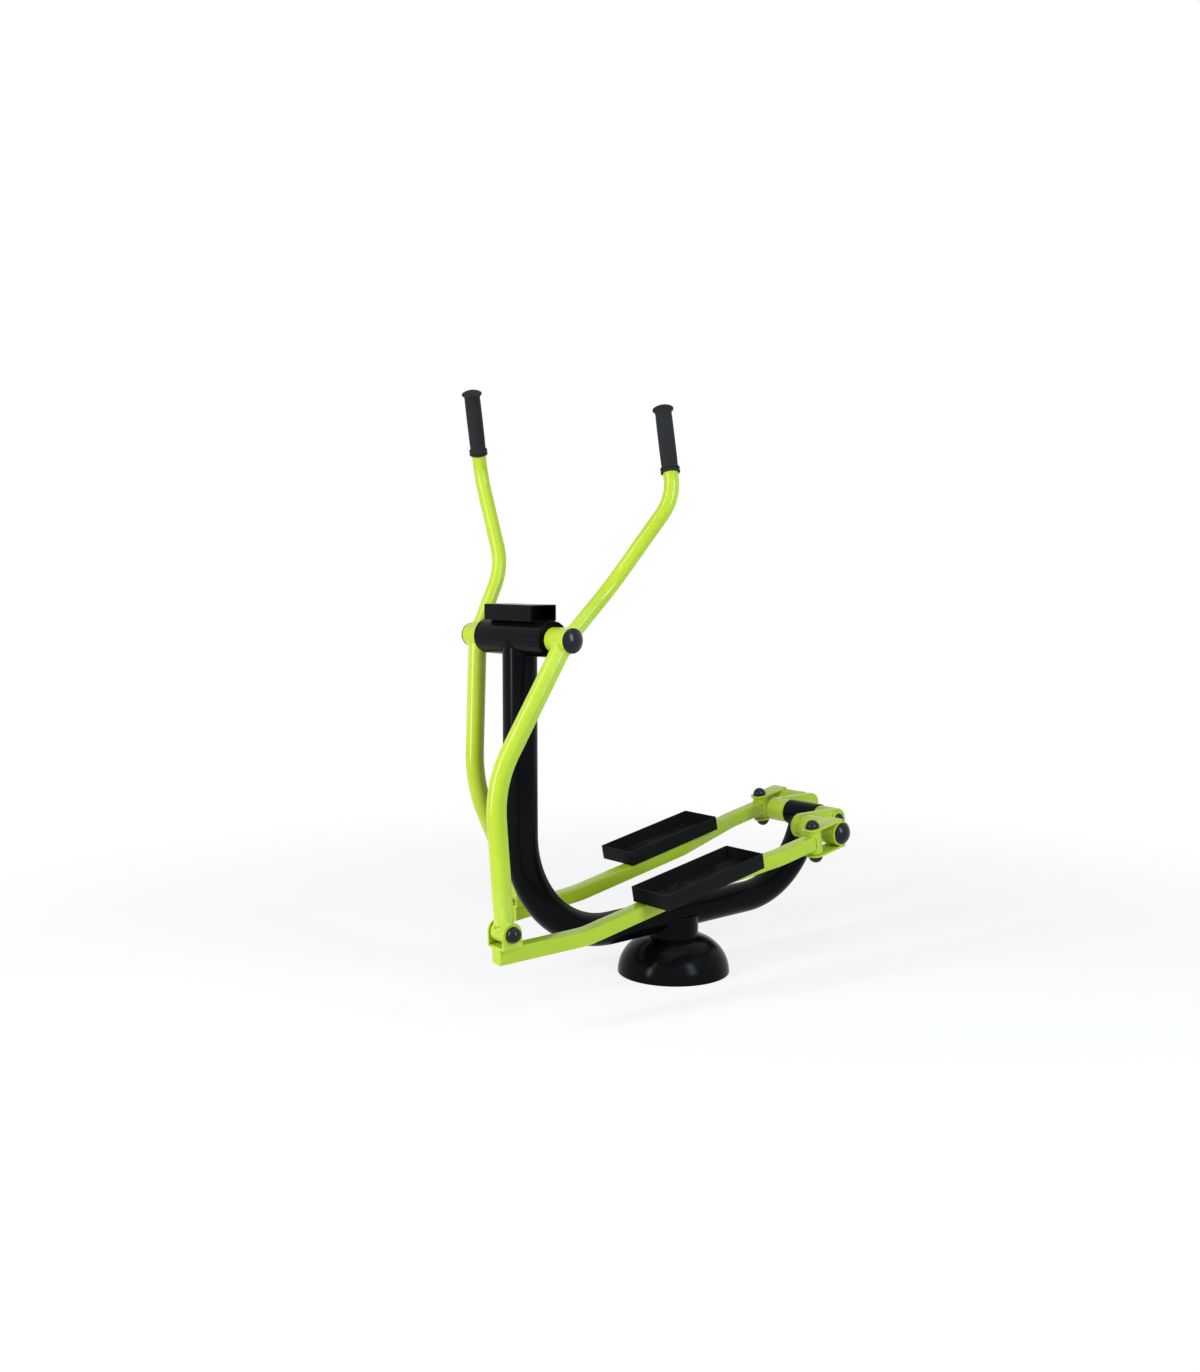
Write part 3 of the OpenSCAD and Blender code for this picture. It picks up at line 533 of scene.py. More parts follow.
class Effects:
    """The shader node groups that the finishes share."""

    COARSE_DETAIL = 1.0
    FINE_DETAIL = 2.0
    # The edge mask paints a highlight: convex edges get a lighter colour, broken up by noise.
    EDGE_BEND = (0.52, 0.60)
    EDGE_BREAKS = (0.30, 0.65)
    EDGE_DEPTH = (0.35, 1.0)
    EDGE_DETAIL = 3.0
    DUST_TILT = (0.35, 0.95)
    DUST_PATCHES = (0.35, 0.75)
    DUST_DETAIL = 5.0
    MOTTLE_SPAN = (0.3, 0.7)
    MOTTLE_DETAIL = 4.0

    def __init__(self) -> None:
        """Builds each group once."""
        self.grain = self.make_grain()
        # self.edges is the mask of the painted edge highlight
        self.edges = self.make_edge_highlight()
        self.dust = self.make_dust()
        self.mottle = self.make_mottle()

    @staticmethod
    def start(
        name: str, inputs: dict[str, float], result: str
    ) -> tuple[Graph, bpy.types.Node, bpy.types.Node]:
        """Starts a node group of numbers.

        Args:
            name: The group's name.
            inputs: The names and first values of its inputs.
            result: The name of its output.

        Returns:
            The graph and its input and output nodes.
        """
        tree = bpy.data.node_groups.new(name, "ShaderNodeTree")
        for label, value in inputs.items():
            made = tree.interface.new_socket(label, in_out="INPUT", socket_type="NodeSocketFloat")
            made.default_value = value
        tree.interface.new_socket(result, in_out="OUTPUT", socket_type="NodeSocketFloat")
        graph = Graph(tree)
        return graph, graph.add("NodeGroupInput"), graph.add("NodeGroupOutput")

    @staticmethod
    def give_mask(graph: Graph, out: bpy.types.Node, *parts: bpy.types.NodeSocket) -> bpy.types.NodeTree:
        """Multiplies the parts of a mask and gives it out.

        Args:
            graph: The group.
            out: Its output node.
            parts: Two or more numbers from 0 to 1.

        Returns:
            The finished group.
        """
        mask = parts[0]
        for part in parts[1:]:
            mask = graph.math("MULTIPLY", mask, part)
        graph.link(mask, out, "Mask")
        return graph.tree

    def make_grain(self) -> bpy.types.NodeTree:
        """Builds the fine surface relief: a coarse and a fine noise."""
        inputs = {"Scale": 400.0, "Fine Scale": 1500.0, "Fine Share": 0.3}
        graph, given, out = self.start("grain", inputs, "Height")
        coarse = graph.noise(given.outputs["Scale"], self.COARSE_DETAIL)
        fine = graph.noise(given.outputs["Fine Scale"], self.FINE_DETAIL)
        graph.link(graph.blend(given.outputs["Fine Share"], coarse, fine), out, "Height")
        return graph.tree

    def make_edge_highlight(self) -> bpy.types.NodeTree:
        """Builds the mask of convex edges, which get a painted highlight: a lighter colour, broken up by
        noise.
        """
        graph, given, out = self.start("painted_edge_highlight", {"Amount": 0.5, "Break Scale": 60.0}, "Mask")
        bend = graph.add("ShaderNodeNewGeometry").outputs["Pointiness"]
        noise = graph.noise(given.outputs["Break Scale"], self.EDGE_DETAIL)
        edge = graph.spread(bend, self.EDGE_BEND)
        broken = graph.spread(noise, self.EDGE_BREAKS, self.EDGE_DEPTH)
        return self.give_mask(graph, out, edge, broken, given.outputs["Amount"])

    def make_dust(self) -> bpy.types.NodeTree:
        """Builds the mask of dust that settles on faces that look up."""
        graph, given, out = self.start("settled_dust", {"Amount": 0.2, "Scale": 18.0}, "Mask")
        normal = graph.add("ShaderNodeNewGeometry").outputs["Normal"]
        up = graph.add("ShaderNodeSeparateXYZ", {0: normal}).outputs["Z"]
        noise = graph.noise(given.outputs["Scale"], self.DUST_DETAIL)
        cover = graph.spread(up, self.DUST_TILT)
        patches = graph.spread(noise, self.DUST_PATCHES)
        return self.give_mask(graph, out, cover, patches, given.outputs["Amount"])

    def make_mottle(self) -> bpy.types.NodeTree:
        """Builds a slow drift between a colour and a second one."""
        graph, given, out = self.start("mottle", {"Scale": 7.0, "Amount": 0.5}, "Mask")
        noise = graph.noise(given.outputs["Scale"], self.MOTTLE_DETAIL)
        return self.give_mask(graph, out, graph.spread(noise, self.MOTTLE_SPAN), given.outputs["Amount"])


@dataclass(frozen=True)
class Finish:
    """A surface finish: its colours, gloss and relief, in linear colour."""

    slot: Slot
    base: Rgb
    second: Rgb
    # The lighter colour painted on convex edges as a highlight
    edge: Rgb
    dust: Rgb
    roughness: float
    rough_span: float = 0.06
    dust_roughness: float = 0.85
    grain_span: tuple[float, float] = (0.25, 0.75)
    metallic: float = 0.0
    specular: float = 0.5
    grain_size: float = 0.002
    fine_size: float = 0.0007
    fine_share: float = 0.3
    relief: float = 0.00002
    # How strongly the painted edge highlight shows
    edge_highlight_amount: float = 0.4
    dust_amount: float = 0.1
    mottle_scale: float = 7.0

    def material(self, effects: Effects) -> bpy.types.Material:
        """Builds the material.

        Args:
            effects: The shared node groups.

        Returns:
            The material, named after its slot.
        """
        made = bpy.data.materials.new(self.slot.value + "_finish")
        made.use_nodes = True
        made.node_tree.nodes.clear()
        graph = Graph(made.node_tree)
        mottle = graph.group(effects.mottle, {"Scale": self.mottle_scale, "Amount": 1.0})
        edges = graph.group(effects.edges, {"Amount": self.edge_highlight_amount})
        dust = graph.group(effects.dust, {"Amount": self.dust_amount})
        grain = graph.group(effects.grain, {
            "Scale": 1 / self.grain_size, "Fine Scale": 1 / self.fine_size, "Fine Share": self.fine_share,
        })
        colour = graph.mix(mottle, rgba(self.base), rgba(self.second))
        # Painted highlight: convex edges take the lighter edge colour
        colour = graph.mix(edges, colour, rgba(self.edge))
        colour = graph.mix(dust, colour, rgba(self.dust))
        ends = (self.roughness - self.rough_span, self.roughness + self.rough_span)
        rough = graph.blend(dust, graph.spread(grain, self.grain_span, ends), self.dust_roughness)
        bump = graph.add("ShaderNodeBump", {"Height": grain, "Strength": 1.0, "Distance": self.relief})
        shader = graph.add(
            "ShaderNodeBsdfPrincipled",
            {"Base Color": colour, "Roughness": rough, "Normal": bump.outputs["Normal"],
             "Metallic": self.metallic, "Specular IOR Level": self.specular},
        )
        graph.link(shader.outputs[0], graph.add("ShaderNodeOutputMaterial"), "Surface")
        return made


# Each finish's edge colour is a painted highlight on its convex edges.
FINISHES = (
    Finish(
        Slot.BLACK_COAT, base=(0.0018, 0.0021, 0.0026), second=(0.0030, 0.0034, 0.0040),
        edge=(0.014, 0.015, 0.018), dust=(0.08, 0.078, 0.074), roughness=0.20, rough_span=0.02,
        specular=0.045, grain_size=0.0040, relief=0.000003, edge_highlight_amount=0.4, dust_amount=0.02,
    ),
    Finish(
        Slot.LIME_COAT, base=(0.385, 0.505, 0.020), second=(0.420, 0.545, 0.026),
        edge=(0.62, 0.78, 0.16), dust=(0.50, 0.55, 0.20), roughness=0.24, rough_span=0.02,
        specular=0.30, grain_size=0.0050, relief=0.000002, edge_highlight_amount=0.5, dust_amount=0.04,
    ),
    Finish(
        Slot.TRAY_BLACK, base=(0.0040, 0.0040, 0.0042), second=(0.0058, 0.0058, 0.0060),
        edge=(0.018, 0.018, 0.019), dust=(0.09, 0.085, 0.08), roughness=0.50, specular=0.05,
        grain_size=0.0012, fine_size=0.0005, relief=0.00004, edge_highlight_amount=0.5, dust_amount=0.10,
    ),
    Finish(
        Slot.CAP_BLACK, base=(0.0060, 0.0066, 0.0100), second=(0.0078, 0.0085, 0.0125),
        edge=(0.012, 0.013, 0.018), dust=(0.10, 0.10, 0.10), roughness=0.20, rough_span=0.03,
        specular=0.20, grain_size=0.004, relief=0.000006, edge_highlight_amount=0.3, dust_amount=0.03,
    ),
    Finish(
        Slot.GRIP_RUBBER, base=(0.0100, 0.0102, 0.0112), second=(0.0130, 0.0133, 0.0144),
        edge=(0.045, 0.045, 0.047), dust=(0.12, 0.115, 0.11), roughness=0.74, specular=0.15,
        grain_size=0.0014, fine_size=0.0004, fine_share=0.5, relief=0.00006, edge_highlight_amount=0.4,
        dust_amount=0.08,
    ),
    Finish(
        Slot.BARE_STEEL, base=(0.46, 0.47, 0.48), second=(0.52, 0.53, 0.54),
        edge=(0.66, 0.67, 0.68), dust=(0.30, 0.29, 0.27), roughness=0.34, metallic=1.0,
        grain_size=0.003, relief=0.00001, edge_highlight_amount=0.6, dust_amount=0.05,
    ),
    Finish(
        Slot.BRONZE, base=(0.42, 0.26, 0.10), second=(0.50, 0.32, 0.13),
        edge=(0.62, 0.42, 0.20), dust=(0.25, 0.20, 0.14), roughness=0.38, metallic=1.0,
        grain_size=0.002, relief=0.00001, edge_highlight_amount=0.6, dust_amount=0.05,
    ),
)


# Pieces


@dataclass
class Bench:
    """Turns finished shapes into pieces of the model."""

    linkage: Linkage
    materials: dict[Slot, bpy.types.Material]
    count: int = 0

    def put(
        self,
        name: str,
        shape: Shape,
        body: str,
        slot: Slot,
        nodes: Sequence[str] = (),
        edge: float = 0.0,
    ) -> bpy.types.Object:
        """Makes a shape a piece that rides on a body.

        Args:
            name: The piece's name.
            shape: Its mesh, in the frame of the whole model.
            body: The CAD body that it rides on.
            slot: Its material slot.
            nodes: The CAD nodes that it stands for.
            edge: Radius of its rounded edges, or 0.

        Returns:
            The piece.
        """
        bm = shape.mesh
        bmesh.ops.remove_doubles(bm, verts=bm.verts, dist=MERGE_GAP)
        bmesh.ops.recalc_face_normals(bm, faces=bm.faces)
        mesh = bpy.data.meshes.new(name)
        bm.to_mesh(mesh)
        bm.free()
        piece = bpy.data.objects.new(name, mesh)
        bpy.context.scene.collection.objects.link(piece)
        if edge > 0:
            bevel = piece.modifiers.new("rounded_edges", "BEVEL")
            bevel.width = edge
            bevel.segments = BEVEL_STEPS
            bevel.limit_method = "ANGLE"
            bevel.angle_limit = BEVEL_ANGLE
            bevel.harden_normals = True
        return self.finish(piece, body, slot, nodes)

    def finish(
        self, piece: bpy.types.Object, body: str, slot: Slot, nodes: Sequence[str]
    ) -> bpy.types.Object:
        """Gives a piece its finish and body, and reports it.

        Args:
            piece: The piece.
            body: The CAD body that it rides on.
            slot: Its material slot.
            nodes: The CAD nodes that it stands for.

        Returns:
            The piece.
        """
        piece.data.shade_smooth()
        piece.data.set_sharp_from_angle(angle=SHARP_ANGLE)
        piece.data.materials.clear()
        piece.data.materials.append(self.materials[slot])
        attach(piece, body)
        if nodes:
            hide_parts(*nodes)
        self.count += 1
        log.info("%s: %d faces on %s", piece.name, len(piece.data.polygons), body)
        return piece


class MeshTree:
    """A geometry node tree with named inputs, which makes plain meshes."""

    def __init__(self, name: str, inputs: dict[str, str]) -> None:
        """Starts the tree.

        Args:
            name: The tree's name.
            inputs: The names of its inputs with their socket types.
        """
        self.tree = bpy.data.node_groups.new(name, "GeometryNodeTree")
        face = self.tree.interface
        self.inputs = {
            label: face.new_socket(label, in_out="INPUT", socket_type=kind).identifier
            for label, kind in inputs.items()
        }
        face.new_socket("Geometry", in_out="OUTPUT", socket_type="NodeSocketGeometry")
        self.graph = Graph(self.tree)
        self.given = self.graph.add("NodeGroupInput").outputs

    def lay(self, sockets: dict[str, bpy.types.NodeSocket]) -> None:
        """Ends the tree: lays a shape on points, makes the copies real and coats them.

        Args:
            sockets: The points, the shape and what turns or scales it.
        """
        graph = self.graph
        laid = graph.add("GeometryNodeInstanceOnPoints", sockets)
        real = graph.add("GeometryNodeRealizeInstances", {"Geometry": laid.outputs[0]})
        coat = graph.add(
            "GeometryNodeSetMaterial", {"Geometry": real.outputs[0], "Material": self.given["Material"]}
        )
        graph.link(coat.outputs[0], graph.add("NodeGroupOutput"), 0)

    def run(self, name: str, start: bpy.types.Mesh, values: dict[str, Any]) -> bpy.types.Object:
        """Runs the tree on a mesh and keeps the result as a plain mesh.

        Args:
            name: The new object's name.
            start: The mesh that the tree starts from.
            values: The values of its inputs.

        Returns:
            The object, without modifiers.
        """
        maker = bpy.data.objects.new(name, start)
        bpy.context.scene.collection.objects.link(maker)
        nodes = maker.modifiers.new("maker", "NODES")
        nodes.node_group = self.tree
        for label, value in values.items():
            nodes[self.inputs[label]] = value
        bpy.context.view_layer.update()
        seen = maker.evaluated_get(bpy.context.evaluated_depsgraph_get())
        plain = bpy.data.meshes.new_from_object(seen)
        maker.modifiers.remove(nodes)
        maker.data = plain
        return maker


class WeldBeads(MeshTree):
    """Lays weld beads along the edges of a mesh."""

    LEAST_SIZE = 0.88
    MOST_SIZE = 1.10
    FLATNESS = 0.8

    def __init__(self) -> None:
        """Builds the tree once."""
        super().__init__("weld_beads", {
            "Geometry": "NodeSocketGeometry", "Pitch": "NodeSocketFloat", "Radius": "NodeSocketFloat",
            "Seed": "NodeSocketInt", "Material": "NodeSocketMaterial",
        })
        graph, given = self.graph, self.given
        curve = graph.add("GeometryNodeMeshToCurve", {"Mesh": given["Geometry"]})
        spaced = {"Curve": curve.outputs[0], "Length": given["Pitch"]}
        even = graph.add("GeometryNodeResampleCurve", spaced, mode="LENGTH")
        points = graph.add("GeometryNodeCurveToPoints", {"Curve": even.outputs[0]}, mode="EVALUATED")
        drop = graph.add("GeometryNodeMeshIcoSphere", {"Radius": given["Radius"], "Subdivisions": 2})
        sizes = {"Seed": given["Seed"], 2: self.LEAST_SIZE, 3: self.MOST_SIZE}
        size = graph.add("FunctionNodeRandomValue", sizes, data_type="FLOAT").outputs[1]
        scale = graph.add("ShaderNodeCombineXYZ", {"X": size, "Y": size, "Z": self.FLATNESS})
        self.lay({
            "Points": points.outputs[0], "Instance": drop.outputs[0],
            "Rotation": points.outputs["Rotation"], "Scale": scale.outputs[0],
        })


@dataclass
class Seams:
    """The weld seams of one body: closed or open lines where its pieces are joined."""

    bench: Bench
    beads: WeldBeads
    name: str
    body: str
    slot: Slot
    radius: float = 0.0032
    pitch: float = 0.0036
    seed: int = 1
    lines: list[tuple[Ring, bool]] = field(default_factory=list)

    def line(self, points: Ring, closed: bool = True) -> None:
        """Adds a seam.

        Args:
            points: Its points in the frame of the whole model.
            closed: True if the last point joins the first.
        """
        self.lines.append((points, closed))

    def saddle(self, tube: Matrix, outline: Outline, host: Matrix, host_d: float) -> None:
        """Adds the seam where a tube meets a round host.

        Args:
            tube: The tube's frame, with its Z leaving the host.
            outline: The tube's section.
            host: The host's frame, with its Z along its axis.
            host_d: The host's diameter.
        """
        back = host.inverted() @ tube
        way = back.to_3x3() @ UP
        a = way.x * way.x + way.y * way.y
        points = []
        for x, y in outline:
            p = back @ Vector((x, y, 0))
            b = p.x * way.x + p.y * way.y
            c = p.x * p.x + p.y * p.y - host_d * host_d / 4
            t = (-b + math.sqrt(max(0.0, b * b - a * c))) / a
            points.append(host @ (p + way * t))
        self.line(points)

    def make(self) -> bpy.types.Object:
        """Lays the beads and makes them a piece.

        Returns:
            The piece.
        """
        bm = bmesh.new()
        for points, closed in self.lines:
            verts = [bm.verts.new(p) for p in points]
            ends = [*verts[1:], verts[0]] if closed else verts[1:]
            for a, b in zip(verts, ends):
                bm.edges.new((a, b))
        mesh = bpy.data.meshes.new(self.name + "_lines")
        bm.to_mesh(mesh)
        bm.free()
        piece = self.beads.run(self.name, mesh, {
            "Pitch": self.pitch, "Radius": self.radius, "Seed": self.seed,
            "Material": self.bench.materials[self.slot],
        })
        return self.bench.finish(piece, self.body, self.slot, ())


class TrayBolts(MeshTree):
    """Makes a row of a tray's bolts, each with its dome head, shank and nut."""

    SIZES = {
        "Head Radius": 0.008, "Head Height": 0.004, "Shank Radius": 0.004, "Shank Length": 0.012,
        "Nut Radius": 0.0075, "Nut Height": 0.006,
    }
    HEAD_SEGMENTS = 32
    HEAD_RINGS = 16
    SHANK_SIDES = 24
    NUT_SIDES = 6

    def __init__(self) -> None:
        """Builds the tree once."""
        super().__init__("tray_bolt_row", {
            "Count": "NodeSocketInt", "Step": "NodeSocketVector",
            **{size: "NodeSocketFloat" for size in self.SIZES}, "Material": "NodeSocketMaterial",
        })
        graph, given = self.graph, self.given
        sphere = {"Segments": self.HEAD_SEGMENTS, "Rings": self.HEAD_RINGS, "Radius": given["Head Radius"]}
        ball = graph.add("GeometryNodeMeshUVSphere", sphere)
        heights = {0: given["Head Height"], 1: given["Head Radius"]}
        ratio = graph.add("ShaderNodeMath", heights, operation="DIVIDE")
        flat = graph.add("ShaderNodeCombineXYZ", {"X": 1.0, "Y": 1.0, "Z": ratio.outputs[0]})
        head = graph.add("GeometryNodeTransform", {"Geometry": ball.outputs[0], "Scale": flat.outputs[0]})
        shank = self.cylinder(given["Shank Radius"], given["Shank Length"], self.SHANK_SIDES)
        nut = self.cylinder(given["Nut Radius"], given["Nut Height"], self.NUT_SIDES)
        heights = {0: given["Nut Height"], 1: given["Shank Length"]}
        low = graph.add("ShaderNodeMath", heights, operation="SUBTRACT")
        whole = graph.add("GeometryNodeJoinGeometry")
        for part in (self.moved(nut, low), shank, head.outputs[0]):
            graph.link(part, whole, 0)
        row = graph.add("GeometryNodeMeshLine", {"Count": given["Count"], "Offset": given["Step"]})
        self.lay({"Points": row.outputs[0], "Instance": whole.outputs[0]})

    def moved(self, part: bpy.types.NodeSocket, height: bpy.types.Node) -> bpy.types.NodeSocket:
        """A part moved by the height that a node gives."""
        offset = self.graph.add("ShaderNodeCombineXYZ", {"Z": height.outputs[0]}).outputs[0]
        return self.graph.add("GeometryNodeTransform", {"Geometry": part, "Translation": offset}).outputs[0]

    def cylinder(
        self, radius: bpy.types.NodeSocket, height: bpy.types.NodeSocket, sides: int
    ) -> bpy.types.NodeSocket:
        """A cylinder that hangs below the origin.

        Args:
            radius: Its radius.
            height: Its height.
            sides: Its number of sides.

        Returns:
            Its geometry.
        """
        sockets = {"Vertices": sides, "Radius": radius, "Depth": height}
        body = self.graph.add("GeometryNodeMeshCylinder", sockets)
        half = self.graph.add("ShaderNodeMath", {0: height, 1: -0.5}, operation="MULTIPLY")
        return self.moved(body.outputs[0], half)


@dataclass
class Rider:
    """Makes the pieces of one moving body of one side, named after that side."""

    bench: Bench
    side: Side
    part: str

    @property
    def link(self) -> Linkage:
        """The sizes that place the moving pieces."""
        return self.bench.linkage

    @property
    def body(self) -> str:
        """The CAD body's name."""
        return f"{self.side.word}_{self.part}"

    def put(self, name: str, shape: Shape, slot: Slot, node: str, edge: float = 0.0) -> None:
        """Makes a shape a piece of this body.

        Args:
            name: The piece's name, without its side.
            shape: Its mesh, in the frame of the whole model.
            slot: Its material slot.
            node: The CAD node that it stands for, without its side.
            edge: Radius of its rounded edges, or 0.
        """
        word = self.side.word
        self.bench.put(f"{word}_{name}", shape, self.body, slot, [f"{word}_{node}"], edge)

    def seams(self, beads: WeldBeads, **values: Any) -> Seams:
        """Starts the weld seams of this body."""
        return Seams(self.bench, beads, f"{self.body}_welds", self.body, Slot.LIME_COAT, **values)


# Sub-assemblies


@dataclass
class Base:
    """The ground cover, and the post that carries the beam."""

    dome_d: float = 0.316
    dome_h: float = 0.103
    dome_side_r: float = 0.105
    dome_wall: float = 0.003
    dome_gap: float = 0.0003
    dome_edge: float = 0.0008
    dome_round: int = 160
    post_d: float = 0.1397
    post_foot: float = 0.012
    post_top: float = 0.16325
    post_edge: float = 0.002

    def build(self, bench: Bench) -> None:
        """Builds the base's pieces.

        Args:
            bench: Where pieces are made.
        """
        bench.put("base_cover", self.cover(), "frame", Slot.BLACK_COAT, ["base_dome"], self.dome_edge)
        post = Shape().bar(self.post_d, self.post_foot, self.post_top, Matrix(), LARGE_ROUND)
        bench.put("base_post", post, "frame", Slot.BLACK_COAT, ["ground_post"], self.post_edge)

    def cover(self) -> Shape:
        """The domed cover with its wall.

        Returns:
            The shape.
        """
        reach = self.post_d / 2 + self.dome_gap
        foot = Vector((self.dome_d / 2, 0))
        top = Vector((reach, self.dome_h))
        centre = circles_meet(foot, self.dome_side_r, top, self.dome_side_r)
        outer = self.arc(centre, self.dome_side_r, foot, top)
        inner_r = self.dome_side_r - self.dome_wall
        low = Vector((centre.x + math.sqrt(inner_r ** 2 - centre.y ** 2), 0))
        high = Vector((reach, centre.y + math.sqrt(inner_r ** 2 - (reach - centre.x) ** 2)))
        profile = [*outer, *reversed(self.arc(centre, inner_r, low, high))]
        rings = [place(circle(2 * r, self.dome_round), shift(0, 0, z)) for r, z in profile]
        return Shape().skin(rings, Ends.LOOPED)

    @staticmethod
    def arc(centre: Vector, radius: float, start: Vector, end: Vector, steps: int = 40) -> Outline:
        """Points on an arc between two of its points.

        Args:
            centre: Its centre.
            radius: Its radius.
            start: Its first point.
            end: Its last point.
            steps: Number of lengths.

        Returns:
            The points.
        """
        a = math.atan2(start.y - centre.y, start.x - centre.x)
        b = math.atan2(end.y - centre.y, end.x - centre.x)
        turns = [a + (b - a) * i / steps for i in range(steps + 1)]
        return [(centre.x + radius * math.cos(t), centre.y + radius * math.sin(t)) for t in turns]


@dataclass
class MainBeam:
    """The bent tube between the two cross housings."""

    d: float = 0.0889
    low_z: float = 0.156
    rise: float = math.radians(1)
    front_r: float = 0.292
    rear_r: float = 0.266
    rear_slope: float = math.radians(74.6)
    end_drop: float = 0.014
    top_drop: float = 0.0095
    edge: float = 0.001
    bend_step: float = math.radians(2)

    def build(self, bench: Bench) -> list[Vector]:
        """Builds the beam.

        Args:
            bench: Where pieces are made.

        Returns:
            The corners of its path.
        """
        link = bench.linkage
        foot = Vector((link.column_x, 0, self.low_z))
        straight = Vector((-math.cos(self.rise), 0, math.sin(self.rise)))
        end_way = Vector((-math.cos(self.rear_slope), 0, math.sin(self.rear_slope)))
        axis = Vector((-link.rear_x, 0, link.rear_z))
        gap = axis - foot
        cross = straight.x * end_way.z - straight.z * end_way.x
        corner = foot + straight * ((gap.x * end_way.z - gap.z * end_way.x) / cross)
        top = Vector((link.column_x, 0, link.top_z - self.top_drop))
        points = [top, foot, corner, axis - end_way * self.end_drop]
        path = bent_path(points, [self.front_r, self.rear_r], self.bend_step)
        shape = Shape().sweep(circle(self.d, LARGE_ROUND), path, ALONG_Y, Matrix())
        bench.put("main_beam_tube", shape, "frame", Slot.BLACK_COAT, ["main_beam"], self.edge)
        return points


@dataclass
class TopHousing:
    """The cross housing on the column, with its end rings and the open box on top."""

    d: float = 0.091
    half: float = 0.141
    ring_t: float = 0.008
    ring_edge: float = 0.0012
    seam_edge: float = 0.0006
    box_w: float = 0.080
    box_len: float = 0.200
    box_h: float = 0.041
    box_wall: float = 0.004
    box_sink: float = 0.002
    box_r: float = 0.0025
    box_inner_r: float = 0.001
    box_edge: float = 0.0006

    def build(self, bench: Bench) -> None:
        """Builds the housing, its end rings and the box.

        Args:
            bench: Where pieces are made.
        """
        at = sideways(bench.linkage.on_top())
        inner = self.half - self.ring_t
        tube = Shape().bar(self.d, -inner, inner, at, LARGE_ROUND)
        bench.put("top_housing_tube", tube, "frame", Slot.BLACK_COAT, ["top_housing"], self.seam_edge)
        rings = Shape()
        for start, end in ((-self.half, -inner), (inner, self.half)):
            rings.bar(self.d, start, end, at, LARGE_ROUND)
        bench.put("housing_end_rings", rings, "frame", Slot.BLACK_COAT, ["housing_plates"], self.ring_edge)
        middle = at @ shift(0, self.d / 2 - self.box_sink + self.box_h / 2, 0)
        outer = round_rect(self.box_w, self.box_h, self.box_r)
        wall = 2 * self.box_wall
        hole = round_rect(self.box_w - wall, self.box_h - wall, self.box_inner_r)
        half = self.box_len / 2
        turns = ((outer, -half), (outer, half), (hole, half), (hole, -half))
        box = Shape().skin([place(o, middle @ shift(0, 0, z)) for o, z in turns], Ends.LOOPED)
        bench.put("top_channel", box, "frame", Slot.BLACK_COAT, ["top_box"], self.box_edge)


@dataclass
class CrankSet:
    """The crank's housing, the two cranks and the caps on their hubs."""

    housing_d: float = 0.076
    housing_half: float = 0.059
    crank_in: float = 0.060
    crank_out: float = 0.129
    crank_d: float = 0.070
    web_t: float = 0.017
    boss_d: float = 0.060
    boss_out: float = 0.147
    ring_d: float = 0.056
    ring_out: float = 0.134
    cap_d: float = 0.041
    cap_h: float = 0.0125
    cap_lip: float = 0.002
    edge: float = 0.0015
    cap_edge: float = 0.0005

    def build(self, bench: Bench) -> None:
        """Builds the housing, the cranks and their caps.

        Args:
            bench: Where pieces are made.
        """
        link = bench.linkage
        rear = sideways(link.on_rear())
        housing = Shape().bar(self.housing_d, -self.housing_half, self.housing_half, rear, LARGE_ROUND)
        bench.put("crank_housing", housing, "frame", Slot.BLACK_COAT, ["rear_housing"], self.edge)
        caps = Shape()
        for side in Side:
            at = sideways(link.on_rear() @ side.mirror)
            pin = at @ shift(-side.value * link.crank_r, 0, 0)
            web = self.towards(capsule(self.crank_d / 2, link.crank_r), side)
            web_middle = self.crank_out - self.web_t / 2
            shape = Shape().prism(web, self.crank_out - self.web_t, self.crank_out, at)
            shape.bar(self.crank_d, self.crank_in, web_middle, at)
            shape.bar(self.boss_d, web_middle, self.boss_out, pin)
            shape.bar(self.ring_d, web_middle, self.ring_out, at)
            word = side.word
            bench.put(f"{word}_crank_arm", shape, "crank", Slot.LIME_COAT, [f"{word}_crank"], self.edge)
            caps.lathe(dome_profile(self.cap_d, self.cap_h, self.cap_lip), at @ shift(0, 0, self.ring_out))
        bench.put("crank_hub_caps", caps, "crank", Slot.CAP_BLACK, ["crank_caps"], self.cap_edge)

    @staticmethod
    def towards(outline: Outline, side: Side) -> Outline:
        """A crank's outline, turned to point to its side's pin."""
        return [(x * side.value, y) for x, y in outline]


